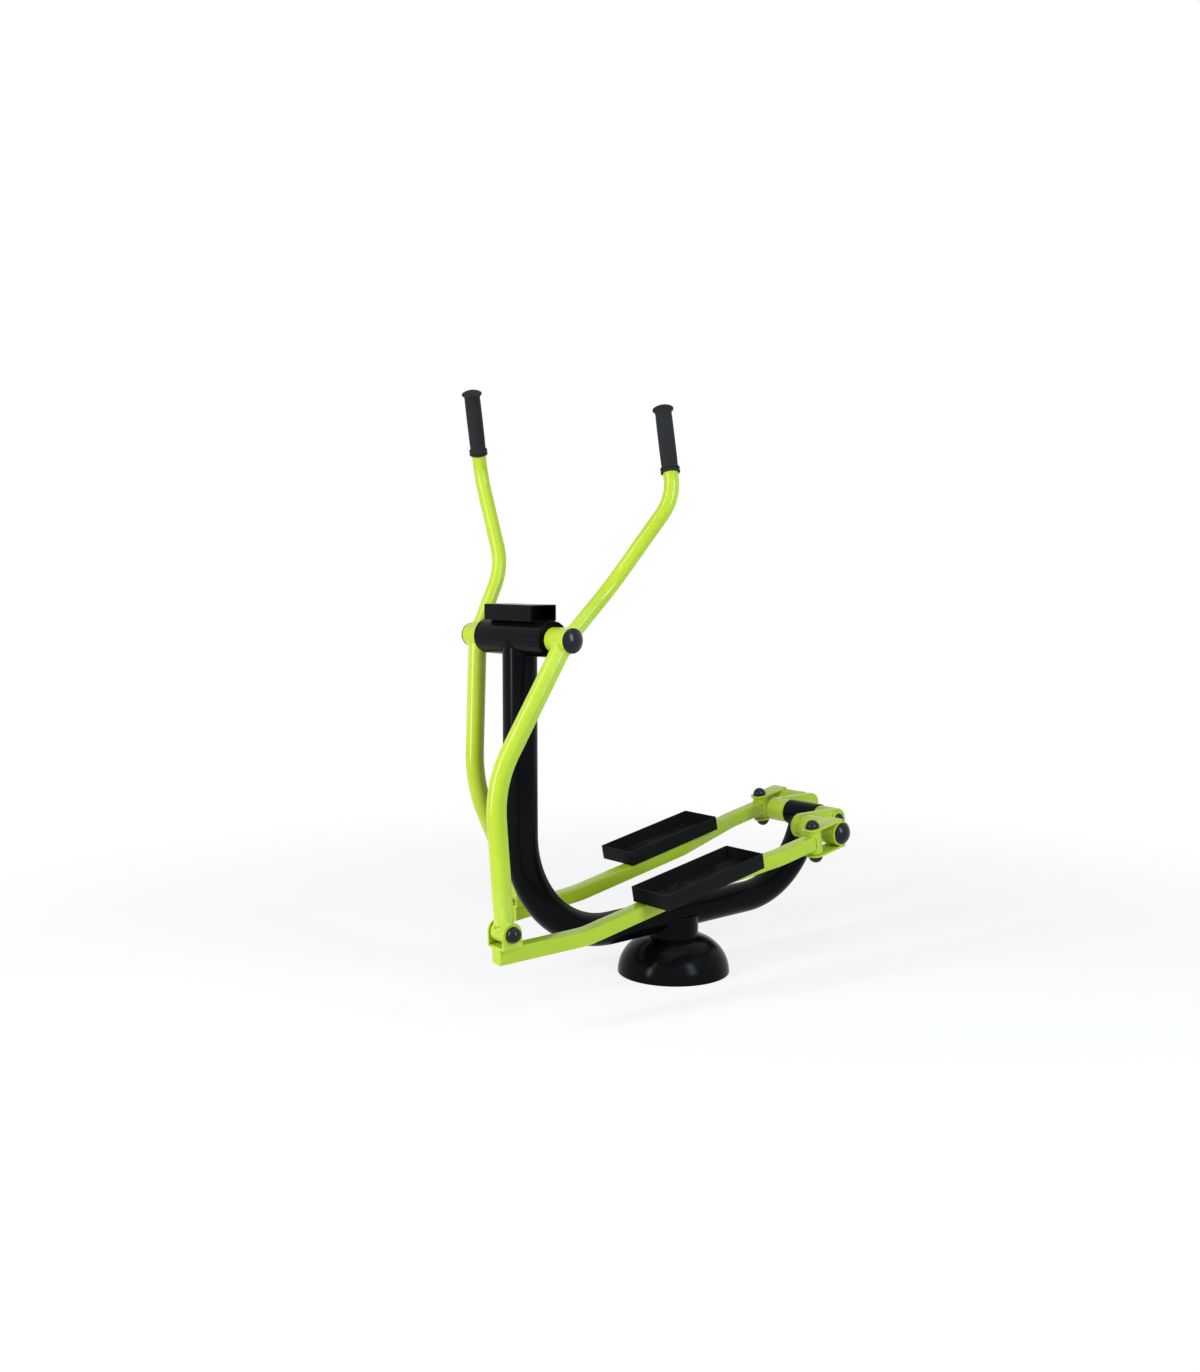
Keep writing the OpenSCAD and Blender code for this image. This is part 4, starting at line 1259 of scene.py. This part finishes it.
@dataclass
class FrameWelds:
    """The weld seams of the fixed frame."""

    radius: float = 0.0038
    pitch: float = 0.0042
    seam_round: int = 72
    post_steps: int = 12
    box_half: float = 0.097
    rear_share: float = 0.98

    def build(
        self, bench: Bench, beads: WeldBeads, base: Base, beam: MainBeam, housing: TopHousing,
        cranks: CrankSet, corners: list[Vector],
    ) -> None:
        """Lays the beads where the frame's pieces meet.

        Args:
            bench: Where pieces are made.
            beads: The tree that lays weld beads.
            base: The post's sizes.
            beam: The beam's sizes.
            housing: The top housing's sizes.
            cranks: The crank housing's sizes.
            corners: The corners of the beam's path.
        """
        link = bench.linkage
        top, foot, corner, end = corners
        seams = Seams(bench, beads, "frame_welds", "frame", Slot.BLACK_COAT, self.radius, self.pitch)
        column = facing(top, foot - top, ALONG_Y)
        seams.saddle(column, circle(beam.d, self.seam_round), sideways(link.on_top()), housing.d)
        seams.line(self.around_post(link, base, beam, foot.z))
        rise = housing.d / 2 - housing.box_sink
        edge = math.sqrt((housing.d / 2) ** 2 - rise ** 2)
        for x in (-edge, edge):
            ends = (-self.box_half, self.box_half)
            seams.line([Vector((link.column_x + x, y, link.top_z + rise)) for y in ends], closed=False)
        tail = facing(end, corner - end, ALONG_Y)
        outline = circle(cranks.housing_d * self.rear_share, self.seam_round)
        seams.saddle(tail, outline, sideways(link.on_rear()), cranks.housing_d)
        seams.make()

    def around_post(self, link: Linkage, base: Base, beam: MainBeam, foot_z: float) -> Ring:
        """The line where the post's wall meets the underside of the beam.

        Args:
            link: The places of the column and the beam.
            base: The post's sizes.
            beam: The beam's sizes.
            foot_z: The height of the beam's axis under the column.

        Returns:
            The closed line.
        """
        slope = math.tan(beam.rise)
        over = foot_z + link.column_x * slope
        radius = beam.d / 2
        half = math.sqrt(radius ** 2 - (over - base.post_top) ** 2)
        steps = range(-self.post_steps, self.post_steps + 1)
        line = []
        for front, order in ((1, steps), (-1, reversed(steps))):
            for i in order:
                y = half * i / self.post_steps
                x = front * math.sqrt((base.post_d / 2) ** 2 - y * y)
                line.append(Vector((x, y, over - x * slope - math.sqrt(radius ** 2 - y * y))))
        return line


@dataclass
class Grip:
    """One rubber grip, with two collars at its foot and a crowned flange at its top."""

    tube_d: float
    tube_end: float
    length: float = 0.170
    collar: tuple[tuple[float, float], ...] = (
        (0.0225, 0.0), (0.0242, 0.0008), (0.0245, 0.0018), (0.0245, 0.0036), (0.0240, 0.0046),
        (0.0222, 0.0054),
    )
    collar_pitch: float = 0.009
    collar_count: int = 2
    neck: tuple[tuple[float, float], ...] = ((0.0208, 0.0165), (0.0207, 0.022))
    barrel_r: float = 0.0209
    barrel_swell: float = 0.0003
    barrel_foot: float = 0.022
    barrel_len: float = 0.130
    steps: int = 12
    flange: tuple[tuple[float, float], ...] = (
        (0.0207, 0.155), (0.0212, 0.1605), (0.0226, 0.1632), (0.0250, 0.1645), (0.0262, 0.1658),
        (0.0265, 0.1675), (0.0263, 0.1695),
    )
    crown_r: float = 0.0479
    crown_angle: float = math.radians(32.5)
    crown_top: float = 0.1777
    round_count: int = 80

    def profile(self) -> Outline:
        """The grip's half profile, from the end of its bore round to its crown.

        Returns:
            The (radius, height) points.
        """
        bore = self.tube_d / 2
        seat = self.length - self.tube_end
        points: Outline = [(0.0, seat), (bore, seat), (bore, 0.0)]
        for i in range(self.collar_count):
            points += [(r, z + i * self.collar_pitch) for r, z in self.collar]
        points += self.neck
        for i in range(1, self.steps):
            share = i / self.steps
            swell = self.barrel_swell * math.sin(math.pi * share)
            points.append((self.barrel_r + swell, self.barrel_foot + share * self.barrel_len))
        points += self.flange
        for i in range(1, self.steps):
            a = self.crown_angle * (1 - i / self.steps)
            points.append((self.crown_r * math.sin(a), self.crown_top - self.crown_r * (1 - math.cos(a))))
        return [*points, (0.0, self.crown_top)]

    def shape(self, at: Matrix) -> Shape:
        """The grip in a frame at its foot, with Z along it."""
        return Shape().lathe(self.profile(), at, self.round_count)


@dataclass
class Handle:
    """One swinging handle: its hub and cap, two bent tubes, grip and lower sleeve."""

    side: Side
    hub_in: float = 0.143
    hub_out: float = 0.217
    hub_d: float = 0.062
    hub_edge: float = 0.0015
    cap_h: float = 0.015
    cap_lip: float = 0.003
    cap_edge: float = 0.0006
    lower_start_y: float = 0.190
    lower_bend: tuple[float, float, float] = (0.100, 0.160, -0.377)
    lower_r: float = 0.300
    lower_d: float = 0.0483
    upper_start_y: float = 0.196
    upper_bend: tuple[float, float, float] = (-0.108, 0.189, 0.164)
    upper_r: float = 0.190
    neck: tuple[float, float, float] = (-0.158, 0.298, 0.400)
    neck_r: float = 0.120
    grip_top: tuple[float, float, float] = (-0.122, 0.233, 0.623)
    upper_d: float = 0.038
    upper_end: float = 0.004
    sleeve_d: float = 0.050
    sleeve_half: float = 0.0245
    sleeve_bite: float = 0.006
    sleeve_edge: float = 0.0012
    bend_step: float = math.radians(3)

    def build(self, bench: Bench, beads: WeldBeads) -> None:
        """Builds the handle's pieces and the seams between them.

        Args:
            bench: Where pieces are made.
            beads: The tree that lays weld beads.
        """
        rider = Rider(bench, self.side, "handle")
        link = rider.link
        at = link.on_handle(self.side)
        hub_at = sideways(at)
        foot = Vector((0, link.pivot_y, -link.handle_len))
        sleeve_at = sideways(at @ Matrix.Translation(foot))
        hub = Shape().bar(self.hub_d, self.hub_in, self.hub_out, hub_at)
        rider.put("hub", hub, Slot.LIME_COAT, "handle_hub", self.hub_edge)
        profile = dome_profile(self.hub_d, self.cap_h, self.cap_lip)
        cap = Shape().lathe(profile, hub_at @ shift(0, 0, self.hub_out))
        rider.put("hub_dome", cap, Slot.CAP_BLACK, "hub_cap", self.cap_edge)

        hub_side = Vector((0, self.upper_start_y, 0))
        upper = [hub_side, Vector(self.upper_bend), Vector(self.neck), Vector(self.grip_top)]
        way = (upper[3] - upper[2]).normalized()
        path = bent_path(upper, [self.upper_r, self.neck_r], self.bend_step)
        section = circle(self.upper_d, TUBE_ROUND)
        tube = Shape().sweep(section, self.shorten(path, self.upper_end), ALONG_X, at)
        rider.put("upper_tube", tube, Slot.LIME_COAT, "handle_upper")

        lower = [Vector((0, self.lower_start_y, 0)), Vector(self.lower_bend), foot]
        path = bent_path(lower, [self.lower_r], self.bend_step)
        section = circle(self.lower_d, TUBE_ROUND)
        tube = Shape().sweep(section, self.shorten(path, self.sleeve_d / 2 - self.sleeve_bite), ALONG_X, at)
        rider.put("lower_tube", tube, Slot.LIME_COAT, "handle_lower")
        sleeve = Shape().bar(self.sleeve_d, -self.sleeve_half, self.sleeve_half, sleeve_at)
        rider.put("pivot_sleeve", sleeve, Slot.LIME_COAT, "lower_sleeve", self.sleeve_edge)
        grip = Grip(self.upper_d, self.upper_end)
        grip_at = at @ facing(upper[3] - way * grip.length, way, ALONG_X)
        rider.put("rubber_grip", grip.shape(grip_at), Slot.GRIP_RUBBER, "grip")

        seams = rider.seams(beads, seed=3)
        for start, towards, d, host, host_d in (
            (upper[0], upper[1], self.upper_d, hub_at, self.hub_d),
            (lower[0], lower[1], self.lower_d, hub_at, self.hub_d),
            (lower[2], lower[1], self.lower_d, sleeve_at, self.sleeve_d),
        ):
            tube_at = at @ facing(start, towards - start, ALONG_X)
            seams.saddle(tube_at, circle(d, SEAM_ROUND), host, host_d)
        seams.make()

    @staticmethod
    def shorten(path: Path, length: float) -> Path:
        """A path that ends earlier, inside the piece that it meets."""
        last, way = path[-1]
        return [*path[:-1], (last - way * length, way)]


@dataclass
class FootTray:
    """One foot tray with its upright rim, and the row of bolts in its floor."""

    length: float = 0.348
    width: float = 0.140
    height: float = 0.041
    wall: float = 0.003
    corner_r: float = 0.004
    least_r: float = 0.0012
    foot_r: float = 0.0015
    foot_cut: float = 0.0004
    lip_r: float = 0.0009
    floor_r: float = 0.002
    cut_share: float = 0.3
    start: float = 0.190
    gap: float = 0.0002
    inner_y: float = 0.176
    bolt_start: float = 0.095
    bolt_pitch: float = 0.050
    bolt_count: int = 3

    def build(self, rider: Rider, arm_half: float, bolts: TrayBolts) -> None:
        """Builds the tray and its bolts.

        Args:
            rider: What makes the arm's pieces.
            arm_half: Half the width of the arm's tube.
            bolts: The tree that makes the bolts.
        """
        word = rider.side.word
        floor = arm_half + self.gap
        rear = rider.link.on_arm_rear(rider.side)
        middle = rear @ shift(-self.start - self.length / 2, self.inner_y + self.width / 2, floor)
        rider.put("tray", self.shape(middle), Slot.TRAY_BLACK, "foot_tray")
        row = bolts.run(f"{word}_tray_bolt_row", bpy.data.meshes.new(f"{word}_bolt_seed"), {
            "Count": self.bolt_count, "Step": (-self.bolt_pitch, 0.0, 0.0), **bolts.SIZES,
            "Material": rider.bench.materials[Slot.BLACK_COAT],
        })
        first = self.start + self.bolt_start
        row.data.transform(rear @ shift(-first, rider.link.arm_y, floor + self.wall))
        if rider.side is Side.RIGHT:
            row.data.flip_normals()
        rider.bench.finish(row, rider.body, Slot.BLACK_COAT, [f"{word}_tray_bolts"])

    def shape(self, at: Matrix) -> Shape:
        """The tray in a frame under its middle.

        Args:
            at: The frame.

        Returns:
            The shape.
        """
        wall, top, lip = self.wall, self.height, self.lip_r
        lip_cut, floor_cut = lip * self.cut_share, self.floor_r * self.cut_share
        levels = [
            (self.foot_r, 0.0), (self.foot_cut, self.foot_cut), (0.0, self.foot_r),
            (0.0, top - lip), (lip_cut, top - lip_cut), (lip, top),
            (wall - lip, top), (wall - lip_cut, top - lip_cut), (wall, top - lip),
            (wall, wall + self.floor_r), (wall + floor_cut, wall + floor_cut), (wall + self.floor_r, wall),
        ]
        rings = []
        for inset, z in levels:
            radius = max(self.corner_r - inset, self.least_r)
            outline = round_rect(self.length - 2 * inset, self.width - 2 * inset, radius)
            rings.append(place(outline, at @ shift(0, 0, z)))
        return Shape().skin(rings)


@dataclass
class PedalArm:
    """One pedal arm: its square tube, front bracket, caps, foot tray and swivel sleeve."""

    side: Side
    tray: FootTray = field(default_factory=FootTray)
    width: float = 0.040
    corner_r: float = 0.0045
    nose: float = 0.026
    bend_r: float = 0.250
    side_r: float = 0.120
    out_x: float = 0.402
    back_x: float = 0.654
    edge: float = 0.0012
    ear_in: float = 0.027
    ear_out: float = 0.033
    ear_r: float = 0.028
    ear_edge: float = 0.0010
    base_t: float = 0.005
    cap_d: float = 0.040
    cap_h: float = 0.022
    cap_lip: float = 0.002
    cap_edge: float = 0.0005
    swivel_d: float = 0.044
    swivel_half: float = 0.034
    swivel_bite: float = 0.007
    seam_end: float = 0.002
    bend_step: float = math.radians(1)

    def build(self, bench: Bench, beads: WeldBeads, bolts: TrayBolts) -> None:
        """Builds the arm's pieces.

        Args:
            bench: Where pieces are made.
            beads: The tree that lays weld beads.
            bolts: The tree that makes the tray's bolts.
        """
        rider = Rider(bench, self.side, "arm")
        at = rider.link.on_arm(self.side)
        seams = rider.seams(beads, seed=5)
        self.tube(rider, at, seams)
        self.bracket(rider, at, seams)
        fork_at = rider.link.on_fork(self.side)
        sleeve = Shape().bar(self.swivel_d, -self.swivel_half, self.swivel_half, fork_at)
        rider.put("upright_sleeve", sleeve, Slot.LIME_COAT, "swivel_sleeve", self.edge)
        seams.make()
        self.tray.build(rider, self.width / 2, bolts)

    def tube(self, rider: Rider, at: Matrix, seams: Seams) -> None:
        """Builds the bent square tube.

        Args:
            rider: What makes the arm's pieces.
            at: The arm's frame.
            seams: The arm's weld seams.
        """
        link = rider.link
        reach = link.arm_rear_len - link.swivel_gap
        end = link.rear_at(reach - self.swivel_d / 2 + self.swivel_bite, link.swivel_y)
        corners = [
            Vector((self.nose, link.pivot_y - self.nose * math.tan(link.arm_yaw), -link.arm_drop)),
            link.rear_at(0, link.arm_y),
            link.rear_at(self.out_x, link.arm_y),
            link.rear_at(self.back_x, link.swivel_y),
            end,
        ]
        path = bent_path(corners, [self.bend_r, self.side_r, self.side_r], self.bend_step)
        outline = round_rect(self.width, self.width, self.corner_r)
        shape = Shape().sweep(outline, path, ALONG_Y, at)
        rider.put("arm_tube", shape, Slot.LIME_COAT, "pedal_arm", self.edge)
        tube_at = at @ facing(link.rear_at(reach, link.swivel_y), corners[3] - end, ALONG_Y)
        seams.saddle(tube_at, outline, link.on_fork(self.side), self.swivel_d)

    def bracket(self, rider: Rider, at: Matrix, seams: Seams) -> None:
        """Builds the bracket with its two ears, and the caps over its bolt.

        Args:
            rider: What makes the arm's pieces.
            at: The arm's frame.
            seams: The arm's weld seams.
        """
        link = rider.link
        r, foot = self.ear_r, self.width / 2 - link.arm_drop
        on_pivot = at @ shift(0, link.pivot_y, 0)
        middle = sideways(on_pivot)
        shape = Shape()
        for start, end in ((self.ear_in, self.ear_out), (-self.ear_out, -self.ear_in)):
            shape.prism([*half_circle(r, 0.0), (-r, foot), (r, foot)], start, end, middle)
        plate = [(r, foot), (r, foot + self.base_t), (-r, foot + self.base_t), (-r, foot)]
        shape.prism(plate, -self.ear_in, self.ear_in, middle)
        rider.put("ear_bracket", shape, Slot.LIME_COAT, "front_bracket", self.ear_edge)
        caps = Shape()
        for flip in (1, -1):
            seat = sideways(on_pivot @ Matrix.Diagonal((1, flip, 1, 1))) @ shift(0, 0, self.ear_out)
            caps.lathe(dome_profile(self.cap_d, self.cap_h, self.cap_lip), seat)
        rider.put("pivot_domes", caps, Slot.CAP_BLACK, "front_caps", self.cap_edge)
        for half in (-self.width / 2, self.width / 2):
            ends = [
                Vector((x, link.pivot_y + half - x * math.tan(link.arm_yaw), foot))
                for x in (-r, self.nose - self.seam_end)
            ]
            seams.line([at @ end for end in ends], closed=False)


@dataclass
class Fork:
    """One fork: its two straps, swivel caps, and the crank pin's sleeve with its cap.

    The weld of each strap lies on the sleeve in front of the pin's axis: seam_front is a share of
    the sleeve's radius, and seam_height a share of the strap's own height.
    """

    side: Side
    strap_in: float = 0.0345
    strap_out: float = 0.0405
    strap_w: float = 0.056
    strap_tail: float = 0.010
    strap_edge: float = 0.0012
    cap_d: float = 0.040
    cap_h: float = 0.022
    cap_lip: float = 0.002
    cap_edge: float = 0.0005
    sleeve_d: float = 0.070
    sleeve_in: float = 0.1473
    sleeve_out: float = 0.278
    sleeve_edge: float = 0.0015
    pin_cap_d: float = 0.061
    pin_cap_h: float = 0.018
    pin_cap_lip: float = 0.003
    pin_cap_edge: float = 0.0006
    seam_radius: float = 0.0026
    seam_pitch: float = 0.0032
    seam_front: float = 0.29
    seam_height: float = 0.965
    seam_end: float = 0.002

    def build(self, bench: Bench, beads: WeldBeads) -> None:
        """Builds the fork's pieces.

        Args:
            bench: Where pieces are made.
            beads: The tree that lays weld beads.
        """
        rider = Rider(bench, self.side, "fork")
        link = rider.link
        at = link.on_fork(self.side)
        half = self.strap_w / 2
        reach = link.swivel_gap + self.strap_tail
        outline = [*half_circle(half, -math.pi / 2), (-reach, half), (-reach, -half)]
        straps, caps = Shape(), Shape()
        for flip in (1, -1):
            seat = at @ Matrix.Diagonal((1, 1, flip, 1))
            straps.prism(outline, self.strap_in, self.strap_out, seat)
            profile = dome_profile(self.cap_d, self.cap_h, self.cap_lip)
            caps.lathe(profile, seat @ shift(0, 0, self.strap_out))
        rider.put("straps", straps, Slot.LIME_COAT, "fork_straps", self.strap_edge)
        rider.put("swivel_domes", caps, Slot.CAP_BLACK, "swivel_caps", self.cap_edge)
        pin_at = sideways(link.on_pin(self.side))
        sleeve = Shape().bar(self.sleeve_d, self.sleeve_in, self.sleeve_out, pin_at)
        rider.put("crank_sleeve", sleeve, Slot.LIME_COAT, "pin_sleeve", self.sleeve_edge)
        profile = dome_profile(self.pin_cap_d, self.pin_cap_h, self.pin_cap_lip)
        cap = Shape().lathe(profile, pin_at @ shift(0, 0, self.sleeve_out))
        rider.put("pin_dome", cap, Slot.CAP_BLACK, "pin_cap", self.pin_cap_edge)

        seams = rider.seams(beads, radius=self.seam_radius, pitch=self.seam_pitch, seed=7)
        x = self.sleeve_d / 2 * self.seam_front - link.swivel_gap
        side_y = half - self.seam_end
        for z in (self.strap_in, -self.strap_in):
            ends = [at @ Vector((x, y, z * self.seam_height)) for y in (-side_y, side_y)]
            seams.line(ends, closed=False)
        seams.make()


# Studio


def direction(azimuth: float, rise: float) -> Vector:
    """A unit vector from its angle about Z and its angle over the horizon."""
    return Vector((
        math.cos(rise) * math.cos(azimuth), math.cos(rise) * math.sin(azimuth), math.sin(rise)
    ))


@dataclass(frozen=True)
class Lamp:
    """A soft area lamp, aimed at the object.

    It stands turn to the right of the camera, seen from the object, and rise above the horizon.
    """

    name: str
    turn: float
    rise: float
    distance: float
    size: tuple[float, float]
    watts: float
    colour: Rgb

    def build(self, yaw: float, aim: Vector) -> None:
        """Adds the lamp to the scene.

        Args:
            yaw: The camera's direction, as an angle about Z.
            aim: The place that the lamp looks at.
        """
        away = direction(yaw + math.pi + self.turn, self.rise)
        data = bpy.data.lights.new(self.name, "AREA")
        data.shape = "RECTANGLE"
        data.size, data.size_y = self.size
        data.energy = self.watts
        data.color = self.colour
        lamp = bpy.data.objects.new(self.name, data)
        turn = away.to_track_quat("Z", "Y").to_matrix().to_4x4()
        lamp.matrix_world = Matrix.Translation(aim + away * self.distance) @ turn
        bpy.context.scene.collection.objects.link(lamp)


LAMPS = (
    Lamp("left_strip", math.radians(-54), math.radians(16), 3.1, (0.28, 2.2), 70, (0.98, 0.99, 1.0)),
    Lamp("right_box", math.radians(38), math.radians(22), 3.4, (0.90, 2.0), 84, (0.68, 0.85, 1.0)),
    Lamp("overhead", math.radians(10), math.radians(72), 3.2, (2.4, 2.4), 22, WHITE),
)


@dataclass
class Studio:
    """The pale floor, the soft lamps and the camera of the photograph."""

    camera_at: tuple[float, float, float] = (2.5848, 2.8572, 1.1360)
    yaw: float = math.radians(-129.04)
    pitch: float = math.radians(-4.86)
    lens: float = 36.35
    sensor: float = 36.0
    world_light: float = 0.25
    aim: tuple[float, float, float] = (0.0, 0.0, 0.65)
    floor_size: float = 14
    floor_colour: Rgb = (0.97, 0.97, 0.97)
    fade_reach: tuple[float, float] = (0.9, 3.0)
    fade_share: tuple[float, float] = (0.78, 1.0)

    def build(self) -> None:
        """Builds the camera, the floor, the world and the lamps."""
        bpy.context.scene.view_settings.view_transform = "Standard"
        self.camera()
        self.floor()
        self.world()
        for lamp in LAMPS:
            lamp.build(self.yaw, Vector(self.aim))

    def camera(self) -> None:
        """Adds the camera."""
        scene = bpy.context.scene
        data = bpy.data.cameras.new("photo_camera")
        data.sensor_fit = "VERTICAL"
        data.sensor_height = self.sensor
        data.lens = self.lens
        camera = bpy.data.objects.new("photo_camera", data)
        turn = direction(self.yaw, self.pitch).to_track_quat("-Z", "Y").to_matrix().to_4x4()
        camera.matrix_world = Matrix.Translation(self.camera_at) @ turn
        scene.collection.objects.link(camera)
        scene.camera = camera

    def floor(self) -> None:
        """Adds the floor, which fades to white far from the object."""
        bm = bmesh.new()
        bmesh.ops.create_grid(bm, x_segments=1, y_segments=1, size=self.floor_size)
        mesh = bpy.data.meshes.new("floor")
        bm.to_mesh(mesh)
        bm.free()
        floor = bpy.data.objects.new("floor", mesh)
        bpy.context.scene.collection.objects.link(floor)
        paint = bpy.data.materials.new("pale_floor")
        paint.use_nodes = True
        paint.node_tree.nodes.clear()
        graph = Graph(paint.node_tree)
        spot = graph.add("ShaderNodeTexCoord").outputs["Object"]
        reach = graph.add("ShaderNodeVectorMath", {0: spot}, operation="LENGTH").outputs["Value"]
        far = graph.spread(reach, self.fade_reach, self.fade_share)
        path = graph.add("ShaderNodeLightPath").outputs
        seen = graph.math("ADD", path["Is Camera Ray"], path["Is Glossy Ray"])
        shade = graph.add("ShaderNodeBsdfDiffuse", {"Color": rgba(self.floor_colour)})
        glow = graph.add("ShaderNodeEmission", {"Color": rgba(WHITE), "Strength": 1.0})
        mixed = graph.add(
            "ShaderNodeMixShader",
            {0: graph.math("MULTIPLY", far, seen), 1: shade.outputs[0], 2: glow.outputs[0]},
        )
        graph.link(mixed.outputs[0], graph.add("ShaderNodeOutputMaterial"), "Surface")
        mesh.materials.append(paint)

    def world(self) -> None:
        """Sets the white surroundings, dimmer as a light than as a background."""
        world = bpy.data.worlds.new("white_surroundings")
        bpy.context.scene.world = world
        world.use_nodes = True
        world.node_tree.nodes.clear()
        graph = Graph(world.node_tree)
        path = graph.add("ShaderNodeLightPath").outputs
        seen = graph.math("ADD", path["Is Camera Ray"], path["Is Transmission Ray"])
        seen = graph.math("ADD", seen, path["Is Glossy Ray"])
        strength = graph.spread(seen, (0.0, 1.0), (self.world_light, 1.0))
        back = graph.add("ShaderNodeBackground", {"Color": rgba(WHITE), "Strength": strength})
        graph.link(back.outputs[0], graph.add("ShaderNodeOutputWorld"), "Surface")


def dress_hidden(materials: dict[Slot, bpy.types.Material]) -> None:
    """Gives every CAD node the finish of its slot, for those that stay in sight.

    Args:
        materials: The material of each slot.
    """
    for row in frame["record"]["subparts"]:
        node = frame["nodes"][row["node"]]
        paint = materials[Slot(row["material_slot"])]
        if node.material_slots:
            for holder in node.material_slots:
                holder.material = paint
        else:
            node.data.materials.append(paint)


def main() -> None:
    """Builds every piece in order."""
    logging.basicConfig(level=logging.INFO, format="%(name)s %(message)s")
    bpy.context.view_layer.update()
    effects = Effects()
    materials = {finish.slot: finish.material(effects) for finish in FINISHES}
    bench = Bench(Linkage(), materials)
    beads, bolts = WeldBeads(), TrayBolts()
    dress_hidden(materials)
    base, beam, housing, cranks = Base(), MainBeam(), TopHousing(), CrankSet()
    base.build(bench)
    corners = beam.build(bench)
    housing.build(bench)
    cranks.build(bench)
    FrameWelds().build(bench, beads, base, beam, housing, cranks, corners)
    for side in Side:
        Handle(side).build(bench, beads)
        PedalArm(side).build(bench, beads, bolts)
        Fork(side).build(bench, beads)
    Studio().build()
    log.info("%d pieces made", bench.count)


if __name__ == "__main__":
    main()
